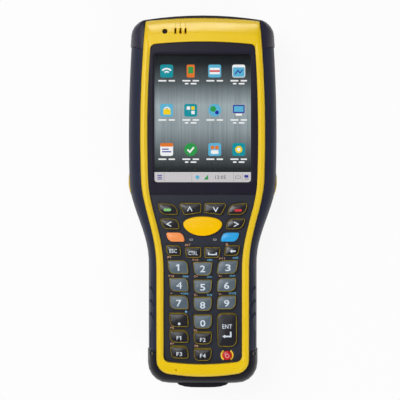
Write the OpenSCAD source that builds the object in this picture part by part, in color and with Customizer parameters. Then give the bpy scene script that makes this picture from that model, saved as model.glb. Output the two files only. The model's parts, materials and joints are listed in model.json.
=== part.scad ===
// Rugged portable data terminal: touch screen and keypad in front, barcode scanner in the head,
// battery in the grip. It lies on its back, with +Z out of the screen, +Y towards the scanning
// end and +X to the right. The origin is on the resting plane, under the middle of the body.

/* [Body] */
// Length from the scanning end to the foot end
body_l = 207; // [203:1:225]
// Width across the head at its widest
head_w = 83; // [81:0.5:90]
// Width across the grip
grip_w = 60.6; // [59:0.2:66]
// Thickness from the resting plane to the crest of the front frame
body_h = 40; // [38.5:0.5:46]
// Height of the back of the grip above the resting plane
grip_rise = 7; // [4:0.5:8]
// Height of the widest line of the sides
widest_z = 25; // [22:0.5:27]
// Wall of the rear housing
wall = 2.2; // [1.8:0.1:2.6]
// Wall of the front housing's skirt
skirt_t = 2.2; // [1.8:0.1:2.6]
// Depth of the front housing from its crest to the joint with the rear housing
front_depth = 10; // [9.5:0.5:11.5]

/* [Rubber] */
// Visible width of the rubber beside the head's frame
side_head = 7.1; // [6.5:0.1:8]
// Visible width of the rubber beside the grip's frame
side_grip = 4.8; // [4.2:0.1:5.4]
// Thickness of the rubber over the rear housing
rubber_t = 3.2; // [2.6:0.1:3.8]
// Height of the rubber's lower edge
rubber_z = 12; // [10.5:0.5:13]
// How far the bumpers stand proud of the side grips
bumper_proud = 0.5; // [0.2:0.1:1]
// Gap between neighbouring rubber pieces
rubber_gap = 0.2; // [0.1:0.05:0.4]
// Distance from the scanning end to the top bumper's seam, at the outer side
top_seam = 16.9; // [14:0.1:20]
// Distance from the foot end to the bottom bumper's seam
foot_seam = 21.3; // [19:0.1:24]

/* [Front] */
// Width of the yellow frame band beside the screen and the keys
band_w = 3.9; // [3.3:0.1:4.5]
// Length of the front frame above the screen bezel
brow_l = 14; // [12.5:0.5:15]
// Depth of the key panel below the crest
panel_drop = 3.4; // [3:0.1:4]
// Thickness of the key panel
panel_t = 2; // [1.6:0.1:2.4]
// Height of the raised lip round a dark or slate key, above the panel
lip_h = 2.2; // [1:0.1:2.3]
// Height of the lip round a coloured key, above the panel
low_lip_h = 0.95; // [0.85:0.05:1.3]
// Width of that lip
lip_w = 0.35; // [0.25:0.05:0.4]
// Thickness of the keypad overlay
overlay_t = 0.8; // [0.5:0.1:1]
// Radius of the status light hole
led_r = 1.45; // [1.2:0.05:1.8]
// Width of a speaker slot
slot_w = 0.8; // [0.6:0.1:1.1]
// Length of a speaker slot
slot_l = 3; // [2.4:0.2:4]
// Distance between speaker slots
slot_pitch = 2.8; // [2:0.1:3.4]

/* [Screen] */
// Width of the visible screen
screen_w = 53; // [50:0.5:54]
// Height of the visible screen
screen_l = 70.4; // [66:0.2:71]
// Distance from the scanning end to the middle of the screen
screen_from_top = 57.5; // [57:0.1:58.4]
// Thickness of the touch panel
touch_t = 1.1; // [0.8:0.1:1.3]
// Border of the touch panel round the screen
touch_border = 2.2; // [1.8:0.1:2.4]
// Thickness of the gasket under the touch panel
foam_t = 0.7; // [0.5:0.1:0.9]
// Thickness of the display module
lcd_t = 3.6; // [3:0.1:3.8]
// Border of the display module round the screen, at the sides
lcd_border = 2.2; // [2:0.1:2.6]
// Height of the bezel above the key panel
bezel_h = 2.3; // [2.1:0.1:2.6]

/* [Keys] */
// Clearance round a key cap
key_gap = 0.15; // [0.1:0.05:0.25]
// Height of a key cap above the key panel
cap_h = 2.9; // [2.4:0.1:3.2]
// Travel of a key
key_travel = 0.8; // [0.5:0.1:1]
// Thickness of a key's flange under the panel
flange_t = 1.2; // [0.8:0.1:1.4]
// How far a key's flange reaches past its cap
flange_w = 0.8; // [0.5:0.1:1]
// Distance from the middle column of keys to a side column
key_col = 13.05; // [12.8:0.05:13.6]
// Distance between rows of number keys
key_row = 9.7; // [9.4:0.1:9.8]
// Distance between rows of function keys
fn_row = 9.1; // [8.7:0.1:9.2]
// Width of a key in a side column
key_w = 10.7; // [10:0.1:11]
// Width of a key in the middle column
mid_key_w = 10.3; // [9.6:0.1:10.9]
// Length of a number key
key_l = 7.6; // [7:0.1:7.9]
// Length of a function key
fn_key_l = 6.7; // [6:0.1:7]
// How far the middle column sits below the side columns
mid_dip = 0.9; // [0.5:0.1:1.1]
// Length of the enter key
enter_l = 18.4; // [17:0.1:18.7]
// Radius of the power key's ring, outside
power_r = 3.45; // [3.2:0.05:3.6]

/* [Inside] */
// Thickness of the keypad membrane
membrane_t = 0.6; // [0.5:0.1:0.8]
// Thickness of the keypad board
keyboard_t = 1; // [0.8:0.1:1.2]
// Thickness of the mid frame's plate
mid_t = 1.6; // [1.2:0.1:1.8]
// Thickness of the main board
board_t = 1.6; // [1:0.1:1.8]
// Height of the posts between the mid frame and the main board
post_h = 2; // [1.9:0.1:3]
// Radius of a housing screw's shank
screw_r = 1.25; // [1:0.05:1.4]
// Radius of a housing screw's head
screw_head_r = 2.4; // [2:0.1:2.5]
// Depth of the wells that the housing screws go in by
screw_well = 18; // [14:0.5:20]

/* [Battery] */
// Width of the battery cover
cover_w = 45; // [42:0.5:46]
// Length of the battery cover
cover_l = 80; // [76:0.5:81]
// Thickness of the battery cover
cover_t = 2.2; // [2:0.1:2.6]
// Width of the cell block
cell_w = 41; // [38:0.5:41.5]
// Length of the cell block
cell_l = 72; // [66:0.5:73]
// Height of the cell block above the cover
cell_h = 13.8; // [11:0.2:15]
// Clearance round the battery in its bay
bay_gap = 0.3; // [0.2:0.05:0.4]
// Travel of the battery latch
latch_travel = 2.5; // [2:0.1:2.6]
// How far the battery lifts out
lift_out = 24; // [20:1:30]

/* [Ends and triggers] */
// Width of the scan window
window_w = 46; // [40:0.5:48]
// Height of the scan window
window_h = 14; // [10:0.5:15]
// Height of the middle of the scan window above the resting plane
window_z = 15; // [13.5:0.5:16]
// Length of a side trigger
trigger_l = 14; // [12:0.5:16]
// Height of a side trigger
trigger_h = 7.6; // [6:0.2:8]
// Distance from the main board down to the middle of a trigger
trigger_z = 3.8; // [3.4:0.1:5]
// How far a trigger stands out of the side
trigger_proud = 0.55; // [0.4:0.05:1]
// Travel of a trigger
trigger_travel = 0.5; // [0.3:0.1:0.8]
// Width of the port cover
port_w = 28.4; // [26:0.2:29]
// Height of the port cover above its hinge
port_h = 15.7; // [14.5:0.1:16]
// Radius of the port cover's hinge pin
pin_r = 0.8; // [0.6:0.05:0.9]
// Width of the dock connector
dock_w = 22; // [18:0.5:23]
// Distance between the strap screws
strap_pitch = 24; // [18:0.5:26]
// Radius of a strap screw's tapping hole
strap_r = 1.25; // [1:0.05:1.6]

/* [Hidden] */
$fn = 32;
fit = 0.05; // running clearance of pins and screws
loose = 0.2; // clearance of parts that drop into place

// Heights, from the crest down
z_crest = body_h;
z_panel = z_crest - panel_drop;
z_under = z_panel - panel_t;
z_flange = z_under - flange_t;
press_gap = 0.1;
dome_h = 0.3;
z_membrane = z_flange - key_travel - press_gap - dome_h - membrane_t;
z_keyboard = z_membrane - keyboard_t;
z_mid = z_keyboard - mid_t;
z_board = z_mid - post_h - board_t;
z_joint = z_crest - front_depth;
rim_t = 2;
z_touch = z_panel + 0.1;
z_foam = z_touch - foam_t;
z_lcd = z_foam - lcd_t;
z_edge = z_crest - 2.4; // upper edge of the rubber
z_cover = grip_rise + cover_t;
z_cell = z_cover + cell_h;
bay_roof = 1.6;

// Places along the body
y_end = body_l / 2;
keys_from_foot = 103.5; // distance from the foot end to the upper edge of the keypad
pad_y = keys_from_foot - y_end;
screen_y = y_end - screen_from_top;
neck_y = pad_y - 11.35; // middle of the taper from head to grip
widest_y = y_end - 66.5;
head_rise = 49; // from the widest line to the top bumpers
bezel_y = screen_y - 41.6; // lower end of the bezel

// A plan is an outline that tapers from head to grip:
// half widths, crown of the sides, upper and lower end of the taper,
// then place, crown and corner radius of the scanning end and of the foot end
HEAD = 0;
GRIP = 1;
CROWN = 2;
NECK_HI = 3;
NECK_LO = 4;
Y_TOP = 5;
SAG_TOP = 6;
R_TOP = 7;
Y_FOOT = 8;
SAG_FOOT = 9;
R_FOOT = 10;

body_plan = [head_w / 2, grip_w / 2, 1.45, neck_y + 22.4, neck_y - 22.4,
    y_end - 0.5, 3.7, 9, 2.3 - y_end, 0.8, 11];
frame_plan = [head_w / 2 - side_head, grip_w / 2 - side_grip, 1.75, neck_y + 23.3, neck_y - 25,
    y_end - 1.5, 2.1, 1, 7 - y_end, 3, 8];
window_plan = [frame_plan[HEAD] - band_w, frame_plan[GRIP] - band_w, 1.75, neck_y + 22.2, neck_y - 26,
    y_end - 1.5 - brow_l, 1.6, 3, 14.2 - y_end, 1.6, 3.4];

n_end = 4; // steps along half an end
n_arc = 5; // steps round a corner
n_side = 40; // steps along a side
n_half = 2 * n_end + 2 * n_arc + n_side;
n_ring = 2 * n_half;

function within(t, low, high) = min(high, max(low, t));
function smooth(t) = let (u = within(t, 0, 1)) u * u * (3 - 2 * u);
function mix(a, b, t) = a * (1 - t) + b * t;

// Half width of a plan at a place along the body
function half_at(p, y) =
    let (taper = smooth((y - p[NECK_LO]) / (p[NECK_HI] - p[NECK_LO])))
    let (head = p[HEAD] - p[CROWN] * pow((y - widest_y) / head_rise, 2))
    mix(p[GRIP], head, taper);

// Height of the back above the resting plane: grip raised, head and heel down
heel_y = 23.5 - y_end;
heel_run = 8;
nape_y = pad_y + 8;
nape_run = 20;
function back_z(y) =
    let (nape = smooth((y - nape_y) / nape_run))
    let (heel = smooth((heel_y - y) / heel_run))
    grip_rise * (1 - nape) * (1 - heel);

// How far the front face falls away towards the two ends
brow_y = y_end - 13.5;
brow_drop = 5;
chin_y = 13.5 - y_end;
chin_drop = 1.5;
function drop(y) =
    brow_drop * pow(max(0, y - brow_y) / 12, 2) + chin_drop * pow(max(0, chin_y - y) / 6.5, 2);

// Outline of a plan pulled in by d, counter-clockwise from the middle of the foot end
function ring(p, d) =
    let (y0 = p[Y_FOOT] + d, y1 = p[Y_TOP] - d)
    let (r0 = max(p[R_FOOT] - d, 0.8), r1 = max(p[R_TOP] - d, 0.5))
    let (h0 = half_at(p, y0) - d, h1 = half_at(p, y1 - p[SAG_TOP] - r1) - d)
    let (x0 = h0 - r0, x1 = h1 - r1)
    let (c0 = y0 + p[SAG_FOOT] * pow(x0 / h0, 2) + r0, c1 = y1 - p[SAG_TOP] * pow(x1 / h1, 2) - r1)
    let (right = concat(
        [for (i = [0:n_end - 1]) let (x = x0 * i / n_end) [x, y0 + p[SAG_FOOT] * pow(x / h0, 2)]],
        [for (i = [0:n_arc - 1]) let (a = 90 * i / n_arc - 90) [x0 + r0 * cos(a), c0 + r0 * sin(a)]],
        [for (i = [0:n_side]) let (y = mix(c0, c1, i / n_side)) [half_at(p, y) - d, y]],
        [for (i = [1:n_arc]) let (a = 90 * i / n_arc) [x1 + r1 * cos(a), c1 + r1 * sin(a)]],
        [for (i = [1:n_end]) let (x = x1 * (1 - i / n_end)) [x, y1 - p[SAG_TOP] * pow(x / h1, 2)]]))
    concat(right, [for (i = [n_half - 1:-1:1]) [-right[i].x, right[i].y]]);

// Place of a plan's scanning end or foot end at x, moved out by d
function top_at(p, x, d) = p[Y_TOP] + d - p[SAG_TOP] * pow(x / half_at(p, p[Y_TOP]), 2);
function foot_at(p, x, d) = p[Y_FOOT] - d + p[SAG_FOOT] * pow(x / half_at(p, p[Y_FOOT]), 2);

function level(outline, z) = [for (p = outline) [p.x, p.y, z]];
function on_back(outline, z) = [for (p = outline) [p.x, p.y, back_z(p.y) + z]];
function on_front(outline, z, share = 1) = [for (p = outline) [p.x, p.y, z - share * drop(p.y)]];

function walls(n, count, closed) =
    [for (r = [0:count - (closed ? 1 : 2)], i = [0:n - 1])
        let (a = r * n, b = ((r + 1) % count) * n, j = (i + 1) % n) [a + i, b + i, b + j, a + j]];

// Solid through a stack of whole rings, closed by strips that run across at both ends
module ring_loft(rings) {
    last = (len(rings) - 1) * n_ring;
    strips = [for (i = [0:n_half - 1]) let (a = n_ring - i - 1, b = (n_ring - i) % n_ring)
        i == 0 ? [0, 1, a] : i == n_half - 1 ? [i, i + 1, b] : [i, i + 1, a, b]];
    lids = [for (s = strips) [for (k = [len(s) - 1:-1:0]) last + s[k]]];
    polyhedron([for (r = rings) each r], concat(strips, walls(n_ring, len(rings), false), lids));
}

// Hoop through rings that close on themselves
module hoop_loft(rings) {
    polyhedron([for (r = rings) each r], walls(n_ring, len(rings), true));
}

// Solid through a stack of outlines, each one all in view from its first point
module stack(rings) {
    n = len(rings[0]);
    last = (len(rings) - 1) * n;
    polyhedron([for (r = rings) each r], concat([[for (i = [0:n - 1]) i]],
        walls(n, len(rings), false), [[for (i = [n:-1:1]) last + i % n]]));
}

// Outline of a rectangle with round corners
function rounded(w, l, r) =
    [for (c = [[1, 1, 0], [-1, 1, 90], [-1, -1, 180], [1, -1, 270]], i = [0:n_arc])
        let (a = c[2] + 90 * i / n_arc)
        [c[0] * (w / 2 - r) + r * cos(a), c[1] * (l / 2 - r) + r * sin(a)]];

module plate(w, l, r, h) {
    linear_extrude(h) polygon(rounded(w, l, r));
}

module block(x, y, z) {
    translate([x[0], y[0], z[0]]) cube([x[1] - x[0], y[1] - y[0], z[1] - z[0]]);
}

module both_sides() {
    children();
    mirror([1, 0, 0]) children();
}

// ---- Keys ----

function unit(v) = v / norm(v);
function outward(a, b) = let (d = unit(b - a)) [d.y, -d.x];

// Corner b between a and c, with both edges moved out by g
function moved(a, b, c, g) =
    let (m = outward(a, b), n = outward(b, c)) b + (m + n) * g / (1 + m * n);

// Arc of radius r in the corner b between a and c
function corner_arc(a, b, c, r) =
    let (u = unit(a - b), v = unit(c - b), half = acos(u * v) / 2)
    let (m = b + unit(u + v) * r / sin(half), s = b + u * r / tan(half) - m)
    let (from = atan2(s.y, s.x), sweep = 180 - 2 * half)
    [for (i = [0:n_key_arc]) m + r * [cos(from + sweep * i / n_key_arc), sin(from + sweep * i / n_key_arc)]];

n_key_arc = 4;
n_oval = 36;

function quad_outline(corners, radii, g) =
    let (q = [for (i = [0:3]) moved(corners[(i + 3) % 4], corners[i], corners[(i + 1) % 4], g)])
    [for (i = [0:3]) each corner_arc(q[(i + 3) % 4], q[i], q[(i + 1) % 4], max(radii[i] + g, 0.25))];

// Lens that is flatter above its tips than below them
function lens_outline(c, half, up, down, g) =
    [for (i = [0:n_oval - 1]) let (a = 360 * i / n_oval, s = sin(a))
        [c.x + (half + g) * cos(a), c.y + (s > 0 ? (up + g) * pow(s, 0.9) : -(down + g) * pow(-s, 1.2))]];

function round_outline(c, r, g) =
    [for (i = [0:n_oval - 1]) c + (r + g) * [cos(360 * i / n_oval), sin(360 * i / n_oval)]];

// Corners run counter-clockwise from the lower left one, and so do their radii
function flip(key, name, tint = dark) =
    let (q = key[2], r = key[3])
    [name, "quad", [for (i = [1, 0, 3, 2]) [-q[i].x, q[i].y]], [r[1], r[0], r[3], r[2]], key[4], tint];

dark = "#2d2b32";
slate = "#586674";
row_1 = -35.9; // first number row, from the keypad's datum
number_rows = 4; // then come the function keys
row_more = [1.1, 0.1, 0, 0, 0, -0.5]; // how much further out a side key reaches, row by row
row_lean = [1, 0.5, 0.4, 0.3, 0.4, 0.4]; // how far its lower outer corner is drawn in
r_left = [3.4, 0.9, 3, 0.7];
r_mid = [2.9, 2.9, 0.8, 0.8];
function row_y(i) = row_1 - min(i, number_rows - 1) * key_row - max(i + 1 - number_rows, 0) * fn_row;
function row_half(i) = (i < number_rows ? key_l : fn_key_l) / 2;

// Side keys lean: both of their sides run inwards towards the foot
function left_key(name, i, tint = slate, lift = 0) =
    let (x1 = key_w / 2 - key_col, x0 = x1 - key_w - row_more[i], e = row_lean[i])
    let (y0 = row_y(i) - row_half(i) + lift, y1 = y0 + 2 * row_half(i))
    [name, "quad", [[x0 + e, y0], [x1, y0], [x1 - 0.8 * e, y1], [x0, y1]], r_left, 0, tint];
function mid_key(name, i, tint = slate) =
    let (x = mid_key_w / 2 + 0.3 * row_more[i], e = row_lean[i])
    let (y0 = row_y(i) - row_half(i) - mid_dip, y1 = y0 + 2 * row_half(i))
    [name, "quad", [[e - x, y0], [x - e, y0], [x, y1], [-x, y1]], r_mid, 0, tint];

key_green = ["key_green", "quad", [[-23.4, -7.2], [-13.7, -7.2], [-13.8, -1.4], [-24.7, -0.7]],
    [4.2, 0.9, 4.6, 0.8], 0, dark];
key_up = ["key_up", "quad", [[-10.1, -7.4], [-0.9, -6.1], [-0.7, -0.6], [-13.7, -0.6]],
    [0.7, 0.7, 1.4, 1.4], 0, dark];
key_left = ["key_left", "quad", [[-21.9, -15.1], [-12.7, -15.1], [-13.2, -9.2], [-23.6, -9.1]],
    [4.2, 0.8, 4, 0.8], 0, dark];
key_orange = ["key_orange", "quad", [[-19.1, -22], [-9.7, -22], [-10.7, -16.8], [-20.3, -16.8]],
    [3.6, 0.9, 3.6, 0.9], 0, "#f59650"];
key_esc = ["key_esc", "quad", [[-19.7, -29.7], [-11.9, -29.7], [-12.2, -24], [-20.4, -23.8]],
    [2.8, 0.7, 2.2, 0.7], 0, dark];
key_ctrl = ["key_ctrl", "quad", [[-9.1, -30.8], [-0.9, -30.8], [-0.8, -24.9], [-9.9, -25.1]],
    [1.8, 0.8, 0.8, 0.7], 0, dark];
key_1 = left_key("key_1", 0);
key_4 = left_key("key_4", 1);
key_7 = left_key("key_7", 2);
key_enter =
    let (x0 = key_col - key_w / 2, x1 = x0 + key_w + 0.45)
    let (y1 = row_y(number_rows - 1) + key_l / 2 - 0.15, y0 = y1 - enter_l)
    ["key_enter", "quad", [[x0 + 0.6, y0], [x1, y0], [x1, y1], [x0, y1]], [1.9, 3.6, 2.4, 3], 0, dark];

KEYS = [
    key_green,
    key_up,
    flip(key_up, "key_down"),
    flip(key_green, "key_red"),
    key_left,
    ["key_scan", "lens", [0, -12.35], [10.8, 4.35, 6.45], 0.4, "#fcc800"],
    flip(key_left, "key_right"),
    key_orange,
    flip(key_orange, "key_blue", "#32a0e1"),
    key_esc,
    key_ctrl,
    flip(key_ctrl, "key_space"),
    flip(key_esc, "key_backspace"),
    key_1,
    mid_key("key_2", 0),
    flip(key_1, "key_3", slate),
    key_4,
    mid_key("key_5", 1),
    flip(key_4, "key_6", slate),
    key_7,
    mid_key("key_8", 2),
    flip(key_7, "key_9", slate),
    left_key("key_point", 3, dark),
    mid_key("key_0", 3),
    key_enter,
    left_key("key_f1", 4, dark),
    mid_key("key_f2", 4, dark),
    left_key("key_f3", 5, dark, 0.4),
    mid_key("key_f4", 5, dark),
    ["key_power", "round", [key_col + 0.35, row_y(5) - 1.2], [power_r], 0, "#d72328"],
];

// Outline of a key's lip on the outside, moved out by g
function rim(k, g) =
    let (flat = k[1] == "lens" ? lens_outline(k[2], k[3][0], k[3][1], k[3][2], g)
        : k[1] == "round" ? round_outline(k[2], k[3][0], g)
        : quad_outline(k[2], k[3], g))
    [for (p = flat) [p.x, p.y + pad_y]];

power_ring = 0.55; // width of the two arcs beside the power key
power_moat = 0.35; // gap between them and the key
function well(k) = k[1] == "round" ? -power_ring - power_moat : -lip_w;
function cap(k) = well(k) - key_gap;

module key(k) {
    z_top = z_panel + cap_h + k[4];
    c = cap(k);
    color(k[5]) {
        prism(rim(k, c + flange_w), z_flange, z_under);
        prism(rim(k, c), z_flange, z_top - 0.9);
        stack([
            level(rim(k, c), z_top - 0.9),
            level(rim(k, c - 0.35), z_top - 0.25),
            level(rim(k, c - 1), z_top),
        ]);
    }
}

module key_lip(k) {
    lip_top = z_panel + (k[5] == dark || k[5] == slate ? lip_h : low_lip_h);
    if (k[1] == "round")
        intersection() {
            prism(rim(k, 0), z_under, lip_top);
            union() {
                prism(rim(k, well(k) + 0.01), z_under, z_panel);
                for (side = [-1, 1])
                    translate([k[2].x, k[2].y + pad_y, z_under]) linear_extrude(lip_top - z_under)
                        polygon([[0, 0], side * 2 * power_r * [cos(52), -sin(52)],
                            side * 3 * power_r * [1, 0], side * 2 * power_r * [cos(52), sin(52)]]);
            }
        }
    else
        prism(rim(k, 0), z_under, lip_top);
}

module prism(outline, z0, z1) {
    translate([0, 0, z0]) linear_extrude(z1 - z0) polygon(outline);
}

// ---- Front ----

// Section of the front frame: share of the way in, fall below the crest
frame_section = [[0, 2.2], [0.08, 1], [0.25, 0.3], [0.58, 0], [0.68, 0.2], [1, 1.1]];
crease_from = 2; // from this station inwards, the section slopes only beside the screen and the keys
function crease(y) = smooth((window_plan[Y_TOP] - 2 - y) / 6) * smooth((y - window_plan[Y_FOOT] - 2) / 4);

function frame_ring(i) =
    let (t = frame_section[i][0], fall = frame_section[i][1])
    let (outer = ring(frame_plan, 0), inner = ring(window_plan, 0))
    [for (k = [0:n_ring - 1]) let (p = mix(outer[k], inner[k], t))
        [p.x, p.y, z_crest - drop(p.y) - fall * (i > crease_from ? crease(p.y) : 1)]];

led_at = [-20.8, y_end - 9.9];
speaker_at = [-12.2, y_end - 12];
slot_y = y_end - 9.4;
mic_at = [-14.6, 11.2 - y_end];
mic_r = 0.8;
mic_tab = [2, 0.4]; // half width of its tab of board, and how far the tab passes it
lug_y = foot_seam - y_end - 1;
lug_l = 1.5;
lug_h = 1.1;
z_lug = z_crest - 6.4;
lug_x = mix(body_plan[GRIP], frame_plan[GRIP], 0.36);

// Screw places: head pair, middle pair and foot pair
head_screw = [25.5, y_end - 12];
mid_screw = [28, pad_y + 2.5];
foot_screw = [20, 12.9 - y_end];
front_boss_r = 2.6;
rear_boss_r = 4;
z_screw_tip = z_under - 1;

module front_housing() {
    color("#e8c81e") difference() {
        union() {
            hoop_loft(concat(
                [level(ring(frame_plan, 0), z_joint)],
                [for (i = [0:len(frame_section) - 1]) frame_ring(i)],
                [level(ring(window_plan, 0), z_under + 0.4),
                    on_front(ring(frame_plan, skirt_t), z_under + 0.4),
                    level(ring(frame_plan, skirt_t), z_joint)]));
            prism(ring(window_plan, -0.5), z_under, z_panel);
            for (k = KEYS)
                key_lip(k);
            both_sides() {
                for (p = [head_screw, mid_screw])
                    translate([p.x, p.y, z_keyboard])
                        cylinder(h = z_under + 0.5 - z_keyboard, r = front_boss_r);
                translate([foot_screw.x, foot_screw.y, z_joint])
                    cylinder(h = z_under + 0.5 - z_joint, r = front_boss_r);
                block([frame_plan[GRIP] - 1, lug_x], [lug_y - lug_l, lug_y], [z_lug, z_lug + lug_h]);
            }
        }
        translate([0, screen_y, z_under - 1]) plate(lcd_w + 2 * loose, lcd_l + 2 * loose, 1, panel_t + 2);
        for (k = KEYS)
            prism(rim(k, well(k)), z_under - 1, z_crest + 1);
        both_sides() {
            for (p = [head_screw, mid_screw, foot_screw])
                translate([p.x, p.y, z_joint - 1])
                    cylinder(h = z_screw_tip + 0.3 - z_joint + 1, r = screw_r + fit);
        }
        translate([led_at.x, led_at.y, z_joint]) cylinder(h = front_depth + 1, r = led_r);
        translate([mic_at.x, mic_at.y, z_joint]) cylinder(h = front_depth + 1, r = 0.4);
        for (i = [-1:1])
            translate([speaker_at.x + i * slot_pitch, slot_y, z_joint]) {
                plate(slot_w, slot_l, slot_w / 2 - 0.01, front_depth + 1);
                translate([0, slot_l / 2 - 0.2, front_depth - 1.4]) rotate([14, 0, 0])
                    plate(slot_w + 0.7, 6, 0.5, 3);
            }
    }
}

module keypad_overlay() {
    color("#383c44") difference() {
        intersection() {
            prism(ring(window_plan, 0.1), z_panel, z_panel + overlay_t);
            block([-head_w, head_w], [-y_end, bezel_y - 0.1], [0, body_h]);
        }
        for (k = KEYS)
            prism(rim(k, 0.05), z_panel - 1, z_crest);
    }
}

z_bezel = z_panel + bezel_h;
touch_w = screen_w + 2 * touch_border;
touch_l = screen_l + 2 * touch_border;

module display_bezel() {
    color("#2f2c38") difference() {
        intersection() {
            prism(ring(window_plan, 0.1), z_panel, z_bezel);
            block([-head_w, head_w], [bezel_y, y_end], [0, body_h]);
        }
        translate([0, screen_y, z_panel - 1])
            plate(touch_w + 2 * loose, touch_l + 2 * loose, 1.2, 1 + z_touch - z_panel + touch_t + 0.05);
        translate([0, screen_y, z_panel]) plate(screen_w, screen_l, 1.6, bezel_h + 1);
        translate([0, screen_y, 0]) stack([
            level(rounded(screen_w, screen_l, 1.6), z_bezel - 0.9),
            level(rounded(screen_w + 2.2, screen_l + 2.2, 2.4), z_bezel),
            level(rounded(screen_w + 2.2, screen_l + 2.2, 2.4), z_bezel + 1),
        ]);
    }
}

module touch_panel() {
    color([0.75, 0.85, 0.9, 0.35]) translate([0, screen_y, z_touch]) plate(touch_w, touch_l, 1, touch_t);
}

lcd_w = screen_w + 2 * lcd_border;
lcd_l = screen_l + 7.6;

module display_gasket() {
    color("#202024") translate([0, screen_y, z_foam]) difference() {
        plate(touch_w - 2 * loose, touch_l - 2 * loose, 1, foam_t);
        translate([0, 0, -1]) plate(screen_w + 1, screen_l + 1, 1, foam_t + 2);
    }
}

module lcd_module() {
    color("#b8bcc0") translate([0, screen_y, z_lcd]) {
        difference() {
            plate(lcd_w, lcd_l, 0.8, lcd_t);
            translate([0, 0, lcd_t - 0.3]) plate(screen_w + 1, screen_l + 1, 0.5, 1);
        }
        translate([0, 0, 0.5]) plate(screen_w + 0.8, screen_l + 0.8, 0.4, lcd_t - 0.6);
    }
}

// ---- Middle ----

main_y = [pad_y + 10, y_end - 19.5]; // lower and upper end of the main board
main_mid = (main_y[0] + main_y[1]) / 2;
post_x = 24;
post_in = 4; // from an end of the main board to its posts
board_posts = [[post_x, main_y[0] + post_in], [post_x, main_y[1] - post_in]];

module mid_frame() {
    rim_w = 4;
    color("#8a9096") difference() {
        union() {
            intersection() {
                prism(ring(frame_plan, skirt_t + 1.1), z_mid, z_keyboard);
                block([-head_w, head_w], [foot_screw.y + rear_boss_r + 2 * loose, y_end], [0, body_h]);
            }
            translate([0, screen_y, z_mid]) plate(lcd_w, lcd_l, 1, z_lcd - z_mid);
            both_sides()
                for (p = board_posts)
                    translate([p.x, p.y, z_mid - post_h]) cylinder(h = post_h + 0.5, r = 2.2);
        }
        translate([0, screen_y, z_keyboard]) plate(lcd_w - 2 * rim_w, lcd_l - 2 * rim_w, 2, lcd_t);
        both_sides()
            for (p = [head_screw, mid_screw])
                translate([p.x, p.y, z_mid - 1]) cylinder(h = mid_t + 2, r = screw_r + loose);
        for (y = [-22, 0, 22])
            translate([0, screen_y + y, z_mid - 1]) plate(34, 16, 3, mid_t + 2);
        translate([0, bezel_y, z_mid - 1]) plate(22, 2, 0.9, mid_t + 2);
    }
}

board_top_y = mid_screw.y - front_boss_r - 0.2;

module keypad_part(z0, z1) {
    intersection() {
        prism(ring(window_plan, 1), z0, z1);
        block([-head_w, head_w], [-y_end, board_top_y], [0, body_h]);
    }
}

function key_centre(k) =
    let (o = rim(k, 0), n = len(o)) [for (i = [1:n]) 1 / n] * o;

module keypad_membrane() {
    color("#d9d9d4") {
        keypad_part(z_membrane, z_membrane + membrane_t);
        for (k = KEYS)
            translate([key_centre(k).x, key_centre(k).y, z_membrane])
                cylinder(h = membrane_t + dome_h, r = k[1] == "round" ? 1.6 : 2.2);
    }
}

module keypad_board() {
    color("#1f6b3a") {
        keypad_part(z_keyboard, z_membrane);
        block([mic_at.x - mic_tab[0], mic_at.x + mic_tab[0]],
            [mic_at.y - mic_tab[1], window_plan[Y_FOOT] + 3], [z_keyboard, z_membrane]);
        translate([mic_at.x, mic_at.y, z_keyboard]) cylinder(h = z_under - z_keyboard - 0.6, r = mic_r);
    }
}

// Shielded parts on the main board: place across and along from its middle, width, length and height
board_parts = [[-13, -22, 20, 16, 1.5], [12, -21, 18, 18, 1.2], [-14, 5, 20, 14, 1.5], [13, 5, 14, 12, 1.1],
    [0, 23, 24, 6, 1.3]];
under_parts = [[-10, -17, 16, 14, 1.3], [12, -13, 12, 12, 1.6], [-6, 13, 22, 10, 1.4], [16, 11, 8, 8, 1]];

module main_board() {
    color("#1f5b34") difference() {
        union() {
            intersection() {
                prism(ring(frame_plan, skirt_t + 2.3), z_board, z_board + board_t);
                block([-head_w, head_w], main_y, [0, body_h]);
            }
            for (b = board_parts)
                translate([b[0], main_mid + b[1], z_board + board_t - 0.1])
                    plate(b[2], b[3], 0.6, b[4] + 0.1);
            for (b = under_parts)
                translate([b[0], main_mid + b[1], z_board - b[4]]) plate(b[2], b[3], 0.6, b[4] + 0.1);
        }
        both_sides()
            for (p = board_posts)
                translate([p.x, p.y, z_board - 1]) cylinder(h = board_t + 1.5, r = 1.1);
    }
}

// ---- Rear ----

z_rim = z_joint - rim_t;
groove = [0.5, 1.5]; // the gasket's groove, measured in from the frame's outline
groove_h = 0.8;
nose_half = 31.5;
z_nose = 20; // from here up the head's end face is upright
nose_lip = 2.8; // from the brow's lower edge down to the top of the nose
pocket_w = cell_w + 2 * bay_gap;
pocket_l = cell_l + 2 * bay_gap;
recess_w = cover_w + 2 * bay_gap;
recess_l = cover_l + 2 * bay_gap;
pack_y = pad_y - 38;
strap_head_y = y_end - 33.5;
strap_heel_y = 12.2 - y_end;
hinge_y = foot_at(body_plan, 0, bumper_proud) + 0.4;
z_hinge = rubber_z + 1.8;
ear_x = [9.6, 12.2];
ear_r = 1.6;
z_dock = 21;
dock_h = 8;

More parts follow.
